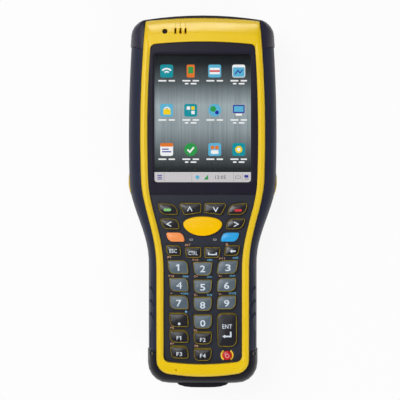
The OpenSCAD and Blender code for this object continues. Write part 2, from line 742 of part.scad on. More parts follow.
// The head's end face between the bumpers, with a lip that closes the front frame's edge
module nose() {
    n = 8;
    back = y_end - 8;
    xs = [for (i = [0:n]) nose_half * (1 - 2 * i / n)];
    brow = [for (x = xs) [x, top_at(body_plan, x, bumper_proud)]];
    section = [[2.5, 2.6], [1.2, 4], [0.2, rubber_z], [-bumper_proud, z_nose]];
    stack([for (s = section) level(concat([[nose_half, back]],
        [for (x = xs) [x, top_at(body_plan, x, -s[0])]],
        [[-nose_half, back]]), s[1])]);
    prism(concat(brow, [for (i = [n:-1:0]) [xs[i], top_at(body_plan, xs[i], -rubber_t - 0.1)]]),
        z_nose, z_joint);
    prism(concat(brow, [for (i = [n:-1:0]) [xs[i], top_at(frame_plan, xs[i], 0.15)]]),
        z_joint - 1, z_crest - brow_drop - nose_lip);
}

module rear_housing() {
    color("#33353d") difference() {
        union() {
            ring_loft([
                on_back(ring(body_plan, 6.5), 0),
                on_back(ring(body_plan, 4.2), 0.5),
                on_back(ring(body_plan, 2.6), 1.8),
                on_back(ring(body_plan, 1.7), 4),
                level(ring(body_plan, 1.4), rubber_z - 0.1),
                level(ring(body_plan, rubber_t), rubber_z - 0.05),
                level(ring(body_plan, rubber_t), z_joint),
                level(ring(frame_plan, skirt_t + 0.8), z_joint),
                level(ring(frame_plan, skirt_t + 0.8), z_rim),
                level(ring(body_plan, rubber_t + wall), z_rim - 0.1),
                on_back(ring(body_plan, rubber_t + wall), wall + 2.3),
                on_back(ring(body_plan, 8), wall),
            ]);
            nose();
            translate([0, pack_y, grip_rise + 1]) plate(recess_w + 3.2, recess_l + 3.2, 3, 3);
            translate([0, pack_y, grip_rise + 1])
                plate(pocket_w + 3.2, pocket_l + 3.2, 2, z_cell + loose + bay_roof - grip_rise - 1);
            both_sides() {
                for (p = [head_screw, mid_screw])
                    translate([p.x, p.y, back_z(p.y) + 1])
                        cylinder(h = z_mid - back_z(p.y) - 1, r = rear_boss_r);
                translate([foot_screw.x, foot_screw.y, 1]) cylinder(h = z_joint - 1, r = rear_boss_r);
                for (y = [strap_head_y, strap_heel_y])
                    translate([strap_pitch / 2, y, 1]) cylinder(h = 8, r = strap_r + 1.75);
                translate([ear_x[0], hinge_y, z_hinge]) rotate([0, 90, 0])
                    cylinder(h = ear_x[1] - ear_x[0], r = ear_r);
                block(ear_x, [hinge_y, hinge_y + 5], [z_hinge - ear_r, z_hinge + ear_r]);
            }
        }
        // seat of the housing gasket
        difference() {
            prism(ring(frame_plan, groove[0]), z_joint - groove_h, z_joint + 1);
            prism(ring(frame_plan, groove[1]), z_joint - groove_h - 1, z_joint + 2);
        }
        // battery bay, open to the back
        translate([0, pack_y, -1]) plate(recess_w, recess_l, 3, z_cover + 0.1 + 1);
        translate([0, pack_y, -1]) plate(pocket_w, pocket_l, 1.2, z_cell + loose + 1);
        block([-latch_tongue_w / 2 - 0.4, latch_tongue_w / 2 + 0.4],
            [pack_y - recess_l / 2 - 2.2, pack_y - recess_l / 2 + 1], [-1, z_cover - 0.2]);
        contacts_seat(loose);
        // scan window and the way for the beam
        window_seat(loose);
        block([-window_w / 2 + 3, window_w / 2 - 3], [y_end - 9.5, y_end + 1],
            [window_z - window_h / 2 + 2, window_z + window_h / 2 - 2]);
        // dock connector
        block([-dock_w / 2 - loose, dock_w / 2 + loose], [-y_end, 14 - y_end],
            [z_dock - dock_h / 2, z_dock + dock_h / 2 + loose]);
        both_sides() {
            for (p = [head_screw, mid_screw, foot_screw]) {
                translate([p.x, p.y, -1]) cylinder(h = screw_well + 1, r = screw_head_r + 0.3);
                translate([p.x, p.y, 0]) cylinder(h = z_joint + 1, r = screw_r + loose);
            }
            for (y = [strap_head_y, strap_heel_y])
                translate([strap_pitch / 2, y, -1]) cylinder(h = 8, r = strap_r);
            translate([ear_x[0] - 1, hinge_y, z_hinge]) rotate([0, 90, 0])
                cylinder(h = ear_x[1] - ear_x[0] + 2, r = pin_r + fit);
            trigger_way(0.3, [trigger_x - 1, head_w]);
            trigger_way(flange_w + 0.3, [trigger_x - 3, trigger_x]);
        }
    }
}

module housing_gasket() {
    color("#17171a") difference() {
        prism(ring(frame_plan, groove[0] + 0.05), z_joint - groove_h, z_joint);
        prism(ring(frame_plan, groove[1] - 0.05), z_joint - groove_h - 1, z_joint + 1);
    }
}

module housing_screws() {
    color("#9a9da3") both_sides() {
        for (p = [head_screw, mid_screw, foot_screw])
            translate([p.x, p.y, screw_well - 1.8]) difference() {
                union() {
                    cylinder(h = 1.8, r = screw_head_r);
                    cylinder(h = z_screw_tip - screw_well + 1.8, r = screw_r);
                }
                translate([0, 0, -1]) linear_extrude(2)
                    polygon([for (i = [0:11]) (i % 2 == 0 ? 1.3 : 0.95) * [cos(30 * i), sin(30 * i)]]);
            }
    }
}

module window_seat(g) {
    n = 8;
    half = window_w / 2 + g;
    back = top_at(body_plan, window_w / 2, -1.4);
    prism(concat(
        [for (i = [0:n]) let (x = half * (1 - 2 * i / n))
            [x, top_at(body_plan, x, bumper_proud) + (g > 0 ? 2 : -0.4)]],
        [[-half, back], [half, back]]),
        window_z - window_h / 2 - g, window_z + window_h / 2 + g);
}

module scan_window() {
    color([0.35, 0.05, 0.08, 0.7]) window_seat(0);
}

module scan_engine() {
    y0 = y_end - 22;
    h = window_h - 3;
    color("#404148") difference() {
        union() {
            block([-14, 14], [y0, y0 + 11], [window_z - h / 2, window_z + h / 2]);
            block([-16, 16], [y0 + 1, y0 + 9], [wall, window_z - h / 2 + 1]);
            translate([-6, y0 + 10, window_z]) rotate([-90, 0, 0]) cylinder(h = 2.4, r = 3.2);
            translate([0, y0 + 5, window_z + h / 2 - 0.5]) plate(20, 8, 1, 1.5);
        }
        translate([-6, y0 + 11.6, window_z]) rotate([-90, 0, 0]) cylinder(h = 2, r = 2.3);
        block([2, 11], [y0 + 8, y0 + 12], [window_z - 3, window_z + 3]);
        block([-11, 11], [y0, y0 + 10], [wall + 1.4, window_z - h / 2 - 1.2]);
    }
}

module speaker() {
    color("#2a2a2e") translate([speaker_at.x, speaker_at.y, z_keyboard]) difference() {
        cylinder(h = 2, r = 5);
        translate([0, 0, 1.5]) cylinder(h = 1, r = 3.6);
    }
}

module status_led() {
    color([0.25, 0.2, 0.3]) translate([led_at.x, led_at.y, z_keyboard]) {
        cylinder(h = z_crest - drop(led_at.y) - 0.7 - z_keyboard, r = led_r - 0.1);
        cylinder(h = 1.2, r = led_r + 0.6);
    }
}

module dock_connector() {
    color("#26262a") block([-dock_w / 2, dock_w / 2], [4.4 - y_end, 13.6 - y_end],
        [z_dock - dock_h / 2, z_dock + dock_h / 2]);
    color("#caa64a")
        for (i = [-4:4])
            block([2 * i - 0.5, 2 * i + 0.5], [4.2 - y_end, 5 - y_end], [z_dock - 2, z_dock + 2]);
}

// ---- Rubber ----

// Cross-section of the rubber: from its inner upper corner down, out and up to the frame's edge.
// spot gives the place of a plan's outline at this station, pulled in by d
function rubber_section(proud, spot) =
    let (inner = spot(body_plan, rubber_t - 0.1), ankle = spot(body_plan, 1.4 - proud))
    let (shin = spot(body_plan, 0.35 - proud), side = spot(body_plan, -proud), edge = spot(frame_plan, -0.1))
    concat(
        [[inner.x, inner.y, z_joint + 0.05], [inner.x, inner.y, rubber_z], [ankle.x, ankle.y, rubber_z],
            [shin.x, shin.y, mix(rubber_z, widest_z, 0.5)], [side.x, side.y, widest_z]],
        [for (i = [1:4]) let (a = 22.5 * i, t = 1 - cos(a), p = mix(side, edge, t))
            [p.x, p.y, mix(widest_z, z_edge, sin(a)) - t * drop(p.y)]],
        [[edge.x, edge.y, z_joint + 0.05]]);

y_foot_seam = foot_seam - y_end;
seam_slope = 0.4;
side_first = n_end + n_arc; // the first and the last point of an outline's right side
side_last = side_first + n_side;

function side_spot(p, d, y) = [half_at(p, y) - d, y];
function top_seam_y(p, d) =
    let (y = y_end - top_seam) y + seam_slope * (half_at(p, y) - d - head_w / 2 + 1.5);

// A place on the rubber's shoulder beside the grip, a share of the way up to the frame's edge
rib_share = 0.42;
rib_l = 4.4;
rib_w = 1.3;
rib_pitch = 7.15;
rib_y = pad_y - 55.8;
groove_share = 0.27;
groove_y = pad_y - 76.2;
groove_l = 9.4;

module on_shoulder(y, share, proud = 0) {
    a = acos(1 - share);
    x = mix(half_at(body_plan, y) + proud, half_at(frame_plan, y), share);
    run = (half_at(body_plan, y) - half_at(frame_plan, y)) * sin(a);
    rise = (z_edge - widest_z) * cos(a);
    translate([x, y, mix(widest_z, z_edge, sin(a))]) rotate([0, atan2(rise, run), 0]) children();
}

module side_grip() {
    difference() {
        union() {
            stack([for (i = [0:n_side]) rubber_section(0, function (p, d)
                let (upper = top_seam_y(p, d) - rubber_gap / 2, lower = y_foot_seam + rubber_gap / 2)
                side_spot(p, d, mix(upper, lower, i / n_side)))]);
            for (i = [-1:1])
                on_shoulder(rib_y + i * rib_pitch, rib_share) rotate([0, 0, 35])
                    translate([-rib_l / 2, -rib_w / 2, -1]) cube([rib_l, rib_w, 1.4]);
        }
        on_shoulder(groove_y, groove_share)
            translate([-0.7, -groove_l / 2, -1]) cube([1.4, groove_l, 2]);
        trigger_way(0.35, [20, head_w]);
    }
}

module side_grip_right() {
    color("#383a44") side_grip();
}

module side_grip_left() {
    color("#383a44") mirror([1, 0, 0]) side_grip();
}

corner_slant = 0.02; // keeps the bumper's inner wall off its end face

module top_bumper() {
    x0 = nose_half + rubber_gap;
    stack(concat(
        [for (i = [n_arc:-1:1]) rubber_section(bumper_proud, function (p, d)
            let (q = ring(p, d)[side_last + i]) [max(q.x, x0 + corner_slant * (n_arc - i)), q.y])],
        [for (t = [0:0.5:1]) rubber_section(bumper_proud, function (p, d)
            let (q = side_spot(p, d, mix(ring(p, d)[side_last].y, top_seam_y(p, d) + rubber_gap / 2, t)))
            [max(q.x, x0 + corner_slant * n_arc), q.y])]));
}

module top_bumper_right() {
    color("#34343d") top_bumper();
}

module top_bumper_left() {
    color("#34343d") mirror([1, 0, 0]) top_bumper();
}

port_gap = 0.3;

module bottom_bumper() {
    color("#2c2d33") difference() {
        stack(concat(
            [rubber_section(bumper_proud, function (p, d) side_spot(p, d, y_foot_seam - rubber_gap / 2))],
            [for (i = [side_first:-1:-side_first]) rubber_section(bumper_proud, function (p, d)
                ring(p, d)[(i + n_ring) % n_ring])],
            [rubber_section(bumper_proud, function (p, d)
                let (q = side_spot(p, d, y_foot_seam - rubber_gap / 2)) [-q.x, q.y])]));
        block([-port_w / 2 - port_gap, port_w / 2 + port_gap], [-body_l, 8 - y_end],
            [0, z_hinge + port_h + port_gap]);
        both_sides()
            block([frame_plan[GRIP] - 2, head_w], [lug_y - lug_l - 0.1, lug_y + 0.1],
                [z_lug - 0.1, z_lug + lug_h + 0.1]);
    }
}

// ---- Moving parts ----

trigger_y = pad_y + 10;
trigger_x = half_at(body_plan, trigger_y) - rubber_t - wall - 1.2; // outer face of a trigger's flange
trigger_flange_t = 1.1;
trigger_level = z_board - trigger_z;

// The way of a trigger through the side, wider than the trigger by g
module trigger_way(g, x) {
    translate([x[0], trigger_y, trigger_level]) rotate([90, 0, 90])
        plate(trigger_l + 2 * g, trigger_h + 2 * g, trigger_h / 2 + g - 0.05, x[1] - x[0]);
}

module side_trigger() {
    y0 = trigger_y - trigger_l / 2;
    y1 = trigger_y + trigger_l / 2;
    n = 8;
    intersection() {
        trigger_way(0, [trigger_x - 1, head_w]);
        prism(concat([[trigger_x - 1, y1], [trigger_x - 1, y0]],
            [for (i = [0:n]) let (y = mix(y0, y1, i / n))
                [half_at(body_plan, y) + trigger_proud * sin(180 * i / n), y]]),
            0, body_h);
    }
    trigger_way(flange_w, [trigger_x - trigger_flange_t, trigger_x]);
}

module side_trigger_right() {
    color("#e8c81e") side_trigger();
}

module side_trigger_left() {
    color("#e8c81e") mirror([1, 0, 0]) side_trigger();
}

// Switches under the edges of the main board, each with a plunger towards its trigger
module trigger_switches() {
    face = trigger_x - trigger_flange_t - trigger_travel - press_gap;
    color("#303236") both_sides() {
        block([face - 4.6, face - 0.8], [trigger_y, trigger_y + 6], [trigger_level - 2.4, z_board]);
        translate([face - 1, trigger_y + 3, trigger_level]) rotate([0, 90, 0]) cylinder(h = 1, r = 1.1);
    }
}

latch_w = 13.6;
latch_l = 6.5;
latch_tongue_w = 8;
latch_y = pack_y - cover_l / 2 + 0.9; // lower end of the latch plate
z_latch = grip_rise + 0.85; // underside of its flange
latch_lip = 1;
tongue_l = 2.4;
z_contact = z_cell - 4; // middle of the battery's contacts
contact_pitch = 4;

module battery_pack() {
    color("#3a3c42") difference() {
        union() {
            translate([0, pack_y, grip_rise]) plate(cover_w, cover_l, 2.8, cover_t);
            translate([0, pack_y, z_cover - 0.1]) plate(cell_w, cell_l, 1, cell_h + 0.1);
        }
        // way of the latch: an opening with a wider seat behind it
        translate([0, latch_y + (latch_l + latch_travel) / 2, grip_rise - 1])
            plate(latch_w - 2 * latch_lip + 0.4, latch_l + latch_travel + 0.2, 0.8, 2);
        translate([0, latch_y + (latch_l + latch_travel) / 2, z_latch - 0.05])
            plate(latch_w + 0.4, latch_l + latch_travel + 0.2, 0.8, 0.7);
        block([-latch_tongue_w / 2 - 0.2, latch_tongue_w / 2 + 0.2],
            [pack_y - cover_l / 2 - 1, latch_y + 1], [z_latch - 0.05, z_latch + 0.65]);
        // finger grooves beside the latch
        both_sides()
            for (i = [0:3])
                block([12, 19], [pack_y - cover_l / 2 + 4 + 2.4 * i, pack_y - cover_l / 2 + 5.2 + 2.4 * i],
                    [grip_rise - 1, grip_rise + 0.5]);
        // contact pads
        for (i = [-1.5:1.5])
            block([contact_pitch * i - 1.2, contact_pitch * i + 1.2],
                [pack_y + cell_l / 2 - 0.3, pack_y + cell_l / 2 + 1], [z_contact - 2, z_contact + 2]);
    }
}

module battery_latch() {
    color("#e8c81e") {
        translate([0, latch_y + latch_l / 2, z_latch]) plate(latch_w, latch_l, 0.6, 0.6);
        translate([0, latch_y + latch_l / 2, grip_rise + 0.1])
            plate(latch_w - 2 * latch_lip, latch_l - 0.2, 0.6, z_latch - grip_rise);
        block([-latch_tongue_w / 2, latch_tongue_w / 2], [latch_y + 0.3 - tongue_l, latch_y + 1],
            [z_latch, z_latch + 0.6]);
    }
}

// Seat of the contact block in the end wall of the battery bay, wider by g
module contacts_seat(g) {
    y0 = pack_y + pocket_l / 2;
    block([-9 - g, 9 + g], [y0 + (g > 0 ? -0.5 : 0.02), y0 + 4], [z_contact - 3.5, z_contact + 3.5 + g]);
}

module battery_contacts() {
    color("#1e1e22") contacts_seat(0);
    color("#caa64a")
        for (i = [-1.5:1.5])
            block([contact_pitch * i - 0.7, contact_pitch * i + 0.7],
                [pack_y + pocket_l / 2 - 0.15, pack_y + pocket_l / 2 + 1], [z_contact - 1, z_contact + 1]);
}

module port_cover() {
    n = 8;
    half = port_w / 2;
    z0 = z_hinge + ear_r + 0.5;
    z1 = z_hinge + port_h;
    back = hinge_y + 0.7;
    face = -y_end;
    color("#26272c") {
        prism(concat([[half, back], [-half, back], [-half, back - 0.6]],
            [for (i = [0:n]) let (x = half * (2 * i / n - 1)) [x * 0.93, face + 1.4 * pow(2 * i / n - 1, 4)]],
            [[half, back - 0.6]]), z0, z1);
        block([-ear_x[0] + loose, ear_x[0] - loose], [hinge_y - 1.2, hinge_y], [z_hinge, z0 + 0.5]);
        translate([-ear_x[0] + loose, hinge_y, z_hinge]) rotate([0, 90, 0])
            cylinder(h = 2 * (ear_x[0] - loose), r = 1.5);
        translate([-ear_x[1] + 0.1, hinge_y, z_hinge]) rotate([0, 90, 0])
            cylinder(h = 2 * (ear_x[1] - 0.1), r = pin_r);
    }
}

front_housing();
keypad_overlay();
display_bezel();
touch_panel();
display_gasket();
lcd_module();
mid_frame();
keypad_membrane();
keypad_board();
main_board();
rear_housing();
housing_gasket();
housing_screws();
scan_window();
scan_engine();
speaker();
status_led();
dock_connector();
side_grip_left();
side_grip_right();
top_bumper_left();
top_bumper_right();
bottom_bumper();
side_trigger_left();
side_trigger_right();
trigger_switches();
battery_pack();
battery_latch();
battery_contacts();
port_cover();
for (k = KEYS)
    key(k);
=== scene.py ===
import json
import math

import bmesh
import bpy
from bpy.props import FloatProperty, FloatVectorProperty, PointerProperty
from mathutils import Matrix, Vector
from mathutils.bvhtree import BVHTree

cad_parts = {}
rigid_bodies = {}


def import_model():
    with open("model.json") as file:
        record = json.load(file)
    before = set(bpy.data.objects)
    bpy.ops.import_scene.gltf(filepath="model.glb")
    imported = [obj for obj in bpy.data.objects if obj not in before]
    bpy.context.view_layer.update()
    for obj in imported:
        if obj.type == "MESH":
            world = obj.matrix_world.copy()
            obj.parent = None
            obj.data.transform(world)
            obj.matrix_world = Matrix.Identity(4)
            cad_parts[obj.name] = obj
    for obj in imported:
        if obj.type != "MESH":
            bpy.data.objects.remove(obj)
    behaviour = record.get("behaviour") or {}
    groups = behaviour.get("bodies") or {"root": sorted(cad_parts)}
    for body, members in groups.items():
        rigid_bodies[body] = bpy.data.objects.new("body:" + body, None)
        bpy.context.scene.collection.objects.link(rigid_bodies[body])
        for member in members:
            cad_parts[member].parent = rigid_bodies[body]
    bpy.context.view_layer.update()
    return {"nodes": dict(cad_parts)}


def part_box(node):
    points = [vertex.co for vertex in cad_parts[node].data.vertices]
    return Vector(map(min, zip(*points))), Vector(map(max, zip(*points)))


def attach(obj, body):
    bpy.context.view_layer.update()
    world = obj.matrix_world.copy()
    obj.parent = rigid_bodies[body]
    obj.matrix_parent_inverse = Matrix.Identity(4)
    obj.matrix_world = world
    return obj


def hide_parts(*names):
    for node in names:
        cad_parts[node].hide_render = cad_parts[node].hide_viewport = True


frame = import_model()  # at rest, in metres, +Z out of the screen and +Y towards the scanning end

bl_info = {
    "name": "Portable data terminal",
    "version": (1, 0, 0),
    "blender": (4, 5, 0),
    "location": "View3D > Sidebar > Terminal",
    "description": "Dresses a packed data terminal: housing, rubber, keypad, screen and stage",
    "category": "Object",
}

NODE = frame["nodes"]
MM = 0.001


def linear(hex_code):
    """A colour written as sRGB hex, turned to linear light."""
    channels = [int(hex_code[i:i + 2], 16) / 255 for i in (1, 3, 5)]
    return [c / 12.92 if c <= 0.04045 else ((c + 0.055) / 1.055) ** 2.4 for c in channels] + [1.0]


def per_mm(size):
    """Scale of a pattern whose grain is this many millimetres, for coordinates in metres."""
    return 1 / (size * MM)


# ---- Settings ----


def tint(name, hex_code, description):
    return FloatVectorProperty(name=name, description=description, subtype="COLOR", size=4,
                               min=0, max=1, default=linear(hex_code))


def length(name, millimetres, description):
    return FloatProperty(name=name, description=description, unit="LENGTH", precision=5,
                         min=0, default=millimetres * MM)


class ShellSettings(bpy.types.PropertyGroup):
    """Colours and grain of the housing and the rubber."""
    yellow: tint("Housing yellow", "#F2CB12", "Front housing, triggers and latch")
    charcoal: tint("Rear charcoal", "#212228", "Rear housing and battery")
    bezel: tint("Bezel", "#201D2C", "Painted frame round the screen")
    overlay: tint("Keypad overlay", "#292C38", "Textured film round the keys")
    rubber: tint("Grip rubber", "#2B2E40", "Side grips")
    corner: tint("Corner rubber", "#2B2939", "Corner bumpers")
    # Foot rubber is the corners' rubber drawn darker, painted shade for the end that gets less light; the
    # port cover takes this colour too.
    bumper: tint("Foot rubber", "#191820", "Foot bumper and port cover")
    # The key lip is the housing's yellow plastic: its dark olive is painted shade, and the gold lip edge is a
    # lighter shade of it, painted where its inner edge and upper slope catch the light. The olive is also
    # used for the lug marks.
    rim: tint("Key lip", "#443B12", "Thin lip round each key")
    strip: tint("Lip edge", "#A08A20", "Inner edge of a lip, and its slope above each lower key")
    grain: length("Moulded grain", 0.35, "Spacing of the texture on moulded plastic")


class KeySettings(bpy.types.PropertyGroup):
    """Colours and curves of the keys."""
    dark: tint("Dark keys", "#1B1A20", "Function and arrow keys")
    slate: tint("Number keys", "#56646F", "Keys 0 to 9")
    amber: tint("Scan key", "#FFC800", "Oval scan key")
    orange: tint("Orange key", "#FC9A5A", "Orange shift key")
    blue: tint("Blue key", "#30A6E8", "Blue shift key")
    red: tint("Power key", "#C81F26", "Power key")
    ink: tint("Legends", "#DCE6F0", "Printed legends")
    roundness: length("Edge rounding", 0.55, "Height of the rounded edge of a key")
    crown: length("Crown", 0.5, "Rise of a key's top towards its middle")
    overhang: length("Overhang", 0.42, "How far the coloured keys reach over their lips")


class ScreenSettings(bpy.types.PropertyGroup):
    """Sizes of the picture on the screen."""
    bar: length("Task bar", 5.5, "Height of the pale bar at the foot of the picture")
    icon: length("Icon", 7.1, "Side of an icon")
    glow: FloatProperty(name="Glow", description="Brightness of the lit screen", min=0, default=1.0)


class StageSettings(bpy.types.PropertyGroup):
    """Lights, floor and camera."""
    key: FloatProperty(name="Key light", description="Power of the large soft light", unit="POWER",
                       min=0, default=9.8)
    ambient: FloatProperty(name="Ambient", description="Light from all round", min=0, default=0.5)
    camera_height: length("Camera height", 640, "Height of the camera above the floor")


# ---- Materials ----


def add(tree, kind, inputs=(), **settings):
    """Adds a node; an input given as a socket is linked, and any other is set."""
    node = tree.nodes.new(kind)
    for name, value in settings.items():
        setattr(node, name, value)
    for name, value in dict(inputs).items():
        if isinstance(value, bpy.types.NodeSocket):
            tree.links.new(value, node.inputs[name])
        else:
            node.inputs[name].default_value = value
    return node


def blank(name):
    """A new material, its empty tree, and the place on the object in metres."""
    material = bpy.data.materials.new(name)
    material.use_nodes = True
    tree = material.node_tree
    tree.nodes.clear()
    return material, tree, add(tree, "ShaderNodeTexCoord").outputs["Object"]


def finished(material, inputs):
    """Ends a material's tree in one Principled shader."""
    tree = material.node_tree
    shader = add(tree, "ShaderNodeBsdfPrincipled", inputs)
    add(tree, "ShaderNodeOutputMaterial", {"Surface": shader.outputs["BSDF"]})
    return material


def varied(tree, colour, fac, low, high):
    """A colour whose brightness goes from low to high with fac."""
    shade = add(tree, "ShaderNodeMapRange", {"Value": fac, "To Min": low, "To Max": high}).outputs["Result"]
    return add(tree, "ShaderNodeHueSaturation", {"Value": shade, "Color": colour}).outputs["Color"]


def patches(tree, at, size, detail, low, high, distortion=0.0):
    """Cloudy patches of a size in millimetres, and a roughness that goes from low to high with them."""
    cloud = add(tree, "ShaderNodeTexNoise", {"Vector": at, "Scale": per_mm(size), "Detail": detail,
                                             "Distortion": distortion}).outputs["Fac"]
    rough = add(tree, "ShaderNodeMapRange", {"Value": cloud, "To Min": low, "To Max": high})
    return cloud, rough.outputs["Result"]


def grained(tree, at, size, detail, depth, normal=None):
    """Grains of a size and a depth in millimetres, as a pattern and as a normal that starts from another."""
    grain = add(tree, "ShaderNodeTexNoise", {"Vector": at, "Scale": per_mm(size), "Detail": detail})
    inputs = {"Height": grain.outputs["Fac"], "Distance": depth * MM}
    if normal:
        inputs["Normal"] = normal
    return grain.outputs["Fac"], add(tree, "ShaderNodeBump", inputs).outputs["Normal"]


def moulded_abs(name, colour, grain, depth, roughness, gloss=0.5):
    """ABS blend moulded against a spark-eroded tool: an even satin with a fine pebble, and edges
    that catch the light because nothing moulded is quite sharp."""
    material, tree, at = blank(name)
    edges = add(tree, "ShaderNodeBevel", {"Radius": 0.18 * MM}, samples=4).outputs["Normal"]
    _, pebble = grained(tree, at, grain / MM, 3, depth, edges)
    handled, rough = patches(tree, at, 14, 4, roughness - 0.07, roughness + 0.07)
    return finished(material, {"Base Color": varied(tree, colour, handled, 0.97, 1.03), "Roughness": rough,
                               "IOR": 1.53, "Specular IOR Level": gloss, "Normal": pebble})


def overmoulded_tpu(name, colour, roughness, gloss=0.25):
    """TPU rubber moulded over the shell: a soft, slightly dusty sheen that breaks up in blotches
    where hands have rubbed it."""
    material, tree, at = blank(name)
    edges = add(tree, "ShaderNodeBevel", {"Radius": 0.3 * MM}, samples=4).outputs["Normal"]
    _, skin = grained(tree, at, 0.3, 2, 0.02, edges)
    rubbed, rough = patches(tree, at, 9, 5, roughness - 0.08, roughness + 0.08)
    return finished(material, {"Base Color": varied(tree, colour, rubbed, 0.9, 1.1), "Roughness": rough,
                               "IOR": 1.5, "Specular IOR Level": gloss, "Normal": skin,
                               "Sheen Weight": 0.03, "Sheen Roughness": 0.5})


def textured_pet_film(name, colour):
    """Polyester film with a velvet print: dark and matt with a fine salt of lighter grains. The
    grain is drawn at 0.5 mm, coarser than the real 0.1 mm, so that it shows."""
    material, tree, at = blank(name)
    salt, velvet = grained(tree, at, 0.5, 2, 0.03)
    return finished(material, {"Base Color": varied(tree, colour, salt, 0.6, 1.4), "Roughness": 0.45,
                               "IOR": 1.57, "Specular IOR Level": 0.25, "Normal": velvet})


def hard_glass(name):
    """Strengthened glass of the touch panel: clear, with a trace of finger grease."""
    material, tree, at = blank(name)
    _, rough = patches(tree, at, 18, 6, 0.0, 0.05)
    return finished(material, {"Base Color": linear("#FFFFFF"), "Roughness": rough, "IOR": 1.45,
                               "Transmission Weight": 1.0})


def red_acrylic(name):
    """Cast acrylic of the scan window: deep red, glossy, and see-through towards a light."""
    material, tree, at = blank(name)
    _, rough = patches(tree, at, 6, 3, 0.02, 0.08)
    return finished(material, {"Base Color": linear("#A01820"), "Roughness": rough, "IOR": 1.49,
                               "Transmission Weight": 0.75})


def moulded_keytop(name, colour, clear, gloss=0.5):
    """Polycarbonate keytop with a hard clear coat: a deep colour under a satin gloss, made paler
    towards its rim by the clear share, a painted highlight on its rounded edge."""
    material, tree, at = blank(name)
    rim = add(tree, "ShaderNodeAttribute", attribute_name="rim").outputs["Fac"]
    # painted highlight: the colour made paler towards the rim of the cap, by the clear share
    painted_highlight = varied(tree, colour, rim, 1.0, 1.0 + clear)
    swirl, rough = patches(tree, at, 2.5, 3, 0.3, 0.4)
    _, worn = grained(tree, at, 0.4, 2, 0.004)
    return finished(material, {"Base Color": varied(tree, painted_highlight, swirl, 0.96, 1.04), "Roughness": rough,
                               "IOR": 1.58, "Normal": worn, "Specular IOR Level": gloss,
                               "Coat Weight": gloss * 0.3, "Coat Roughness": 0.2})


def printed_ink(name, colour):
    """Pad-printed epoxy ink: flat and slightly chalky, thin enough to be uneven."""
    material, tree, at = blank(name)
    uneven = add(tree, "ShaderNodeTexNoise", {"Vector": at, "Scale": per_mm(0.6), "Detail": 2})
    return finished(material, {"Base Color": varied(tree, colour, uneven.outputs["Fac"], 0.94, 1.04),
                               "Roughness": 0.5})


def die_cast(name, hex_code):
    """Die-cast magnesium: grey, satin, with the cloudy flow marks of the casting."""
    material, tree, at = blank(name)
    flow, rough = patches(tree, at, 7, 5, 0.35, 0.55, distortion=1.2)
    _, skin = grained(tree, at, 0.4, 2, 0.03)
    return finished(material, {"Base Color": varied(tree, linear(hex_code), flow, 0.9, 1.1), "Metallic": 1.0,
                               "Roughness": rough, "Normal": skin})


def turned_steel(name):
    """Zinc-plated steel: bright, with fine turning marks."""
    material, tree, at = blank(name)
    _, rough = patches(tree, at, 0.25, 1, 0.25, 0.4)
    return finished(material, {"Base Color": linear("#B9BBBF"), "Metallic": 1.0, "Roughness": rough})


def circuit_board(name):
    """Glass-epoxy board under green solder mask: paler lines where copper runs beneath."""
    material, tree, at = blank(name)
    tracks = add(tree, "ShaderNodeTexBrick", {"Vector": at, "Scale": per_mm(3), "Mortar Size": 0.06,
                                              "Color1": linear("#17502B"), "Color2": linear("#1B5C33"),
                                              "Mortar": linear("#3C8C55")})
    return finished(material, {"Base Color": tracks.outputs["Color"], "Roughness": 0.35, "IOR": 1.5})


def soft_silicone(name, hex_code):
    """Pressed silicone rubber: matt, waxy and faintly see-through at its edges."""
    material, tree, at = blank(name)
    cloud = add(tree, "ShaderNodeTexNoise", {"Vector": at, "Scale": per_mm(4), "Detail": 3})
    return finished(material, {"Base Color": varied(tree, linear(hex_code), cloud.outputs["Fac"], 0.94, 1.06),
                               "Roughness": 0.6, "IOR": 1.41, "Subsurface Weight": 0.1,
                               "Subsurface Scale": 0.5 * MM})


def gold_faced(name, node, depth):
    """Black connector plastic with gold-plated contacts, in the first millimetres of a node from
    its foot end."""
    material, tree, at = blank(name)
    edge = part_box(node)[0].y + depth * MM
    along = add(tree, "ShaderNodeSeparateXYZ", {"Vector": at}).outputs["Y"]
    is_gold = add(tree, "ShaderNodeMath", {0: along, 1: edge}, operation="LESS_THAN").outputs["Value"]
    skin = add(tree, "ShaderNodeMix", {"Factor": is_gold, "A": linear("#202024"), "B": linear("#D9A63C")},
               data_type="RGBA")
    _, rough = patches(tree, at, 0.5, 2, 0.25, 0.5)
    return finished(material, {"Base Color": skin.outputs["Result"], "Metallic": is_gold, "Roughness": rough})


def lit(material, colour, glow):
    """Ends the tree of a part of the lit picture, which has next to no gloss of its own."""
    return finished(material, {"Base Color": linear("#000000"), "Roughness": 0.3, "Specular IOR Level": 0.08,
                               "Emission Color": colour, "Emission Strength": glow})


# The picture's backlight: share of the height from its foot, and colour there
BACKLIGHT = [(0.0, "#222628"), (0.11, "#24292B"), (0.25, "#5A6366"), (0.42, "#8E9A9F"), (0.6, "#9CA9AE"),
             (0.77, "#525B5F"), (0.92, "#1C2226"), (1.0, "#08090B")]


def lit_picture(name, glow):
    """Backlit liquid crystal picture: a soft grey-green glow in the middle that falls to near
    black at both ends, with fine upright streaks like brushed metal."""
    material, tree, at = blank(name)
    across = at.node.outputs["Generated"]
    height = add(tree, "ShaderNodeSeparateXYZ", {"Vector": across}).outputs["Y"]
    ramp = add(tree, "ShaderNodeValToRGB", {"Fac": height})
    elements = ramp.color_ramp.elements
    while len(elements) < len(BACKLIGHT):
        elements.new(0.5)
    for element, (place, hex_code) in zip(elements, BACKLIGHT):
        element.position = place
        element.color = linear(hex_code)
    stretched = add(tree, "ShaderNodeMapping", {"Vector": across, "Scale": (70, 1.2, 1)}).outputs["Vector"]
    streak = add(tree, "ShaderNodeTexNoise", {"Vector": stretched, "Scale": 1, "Detail": 3}).outputs["Fac"]
    return lit(material, varied(tree, ramp.outputs["Color"], streak, 0.6, 1.4), glow)


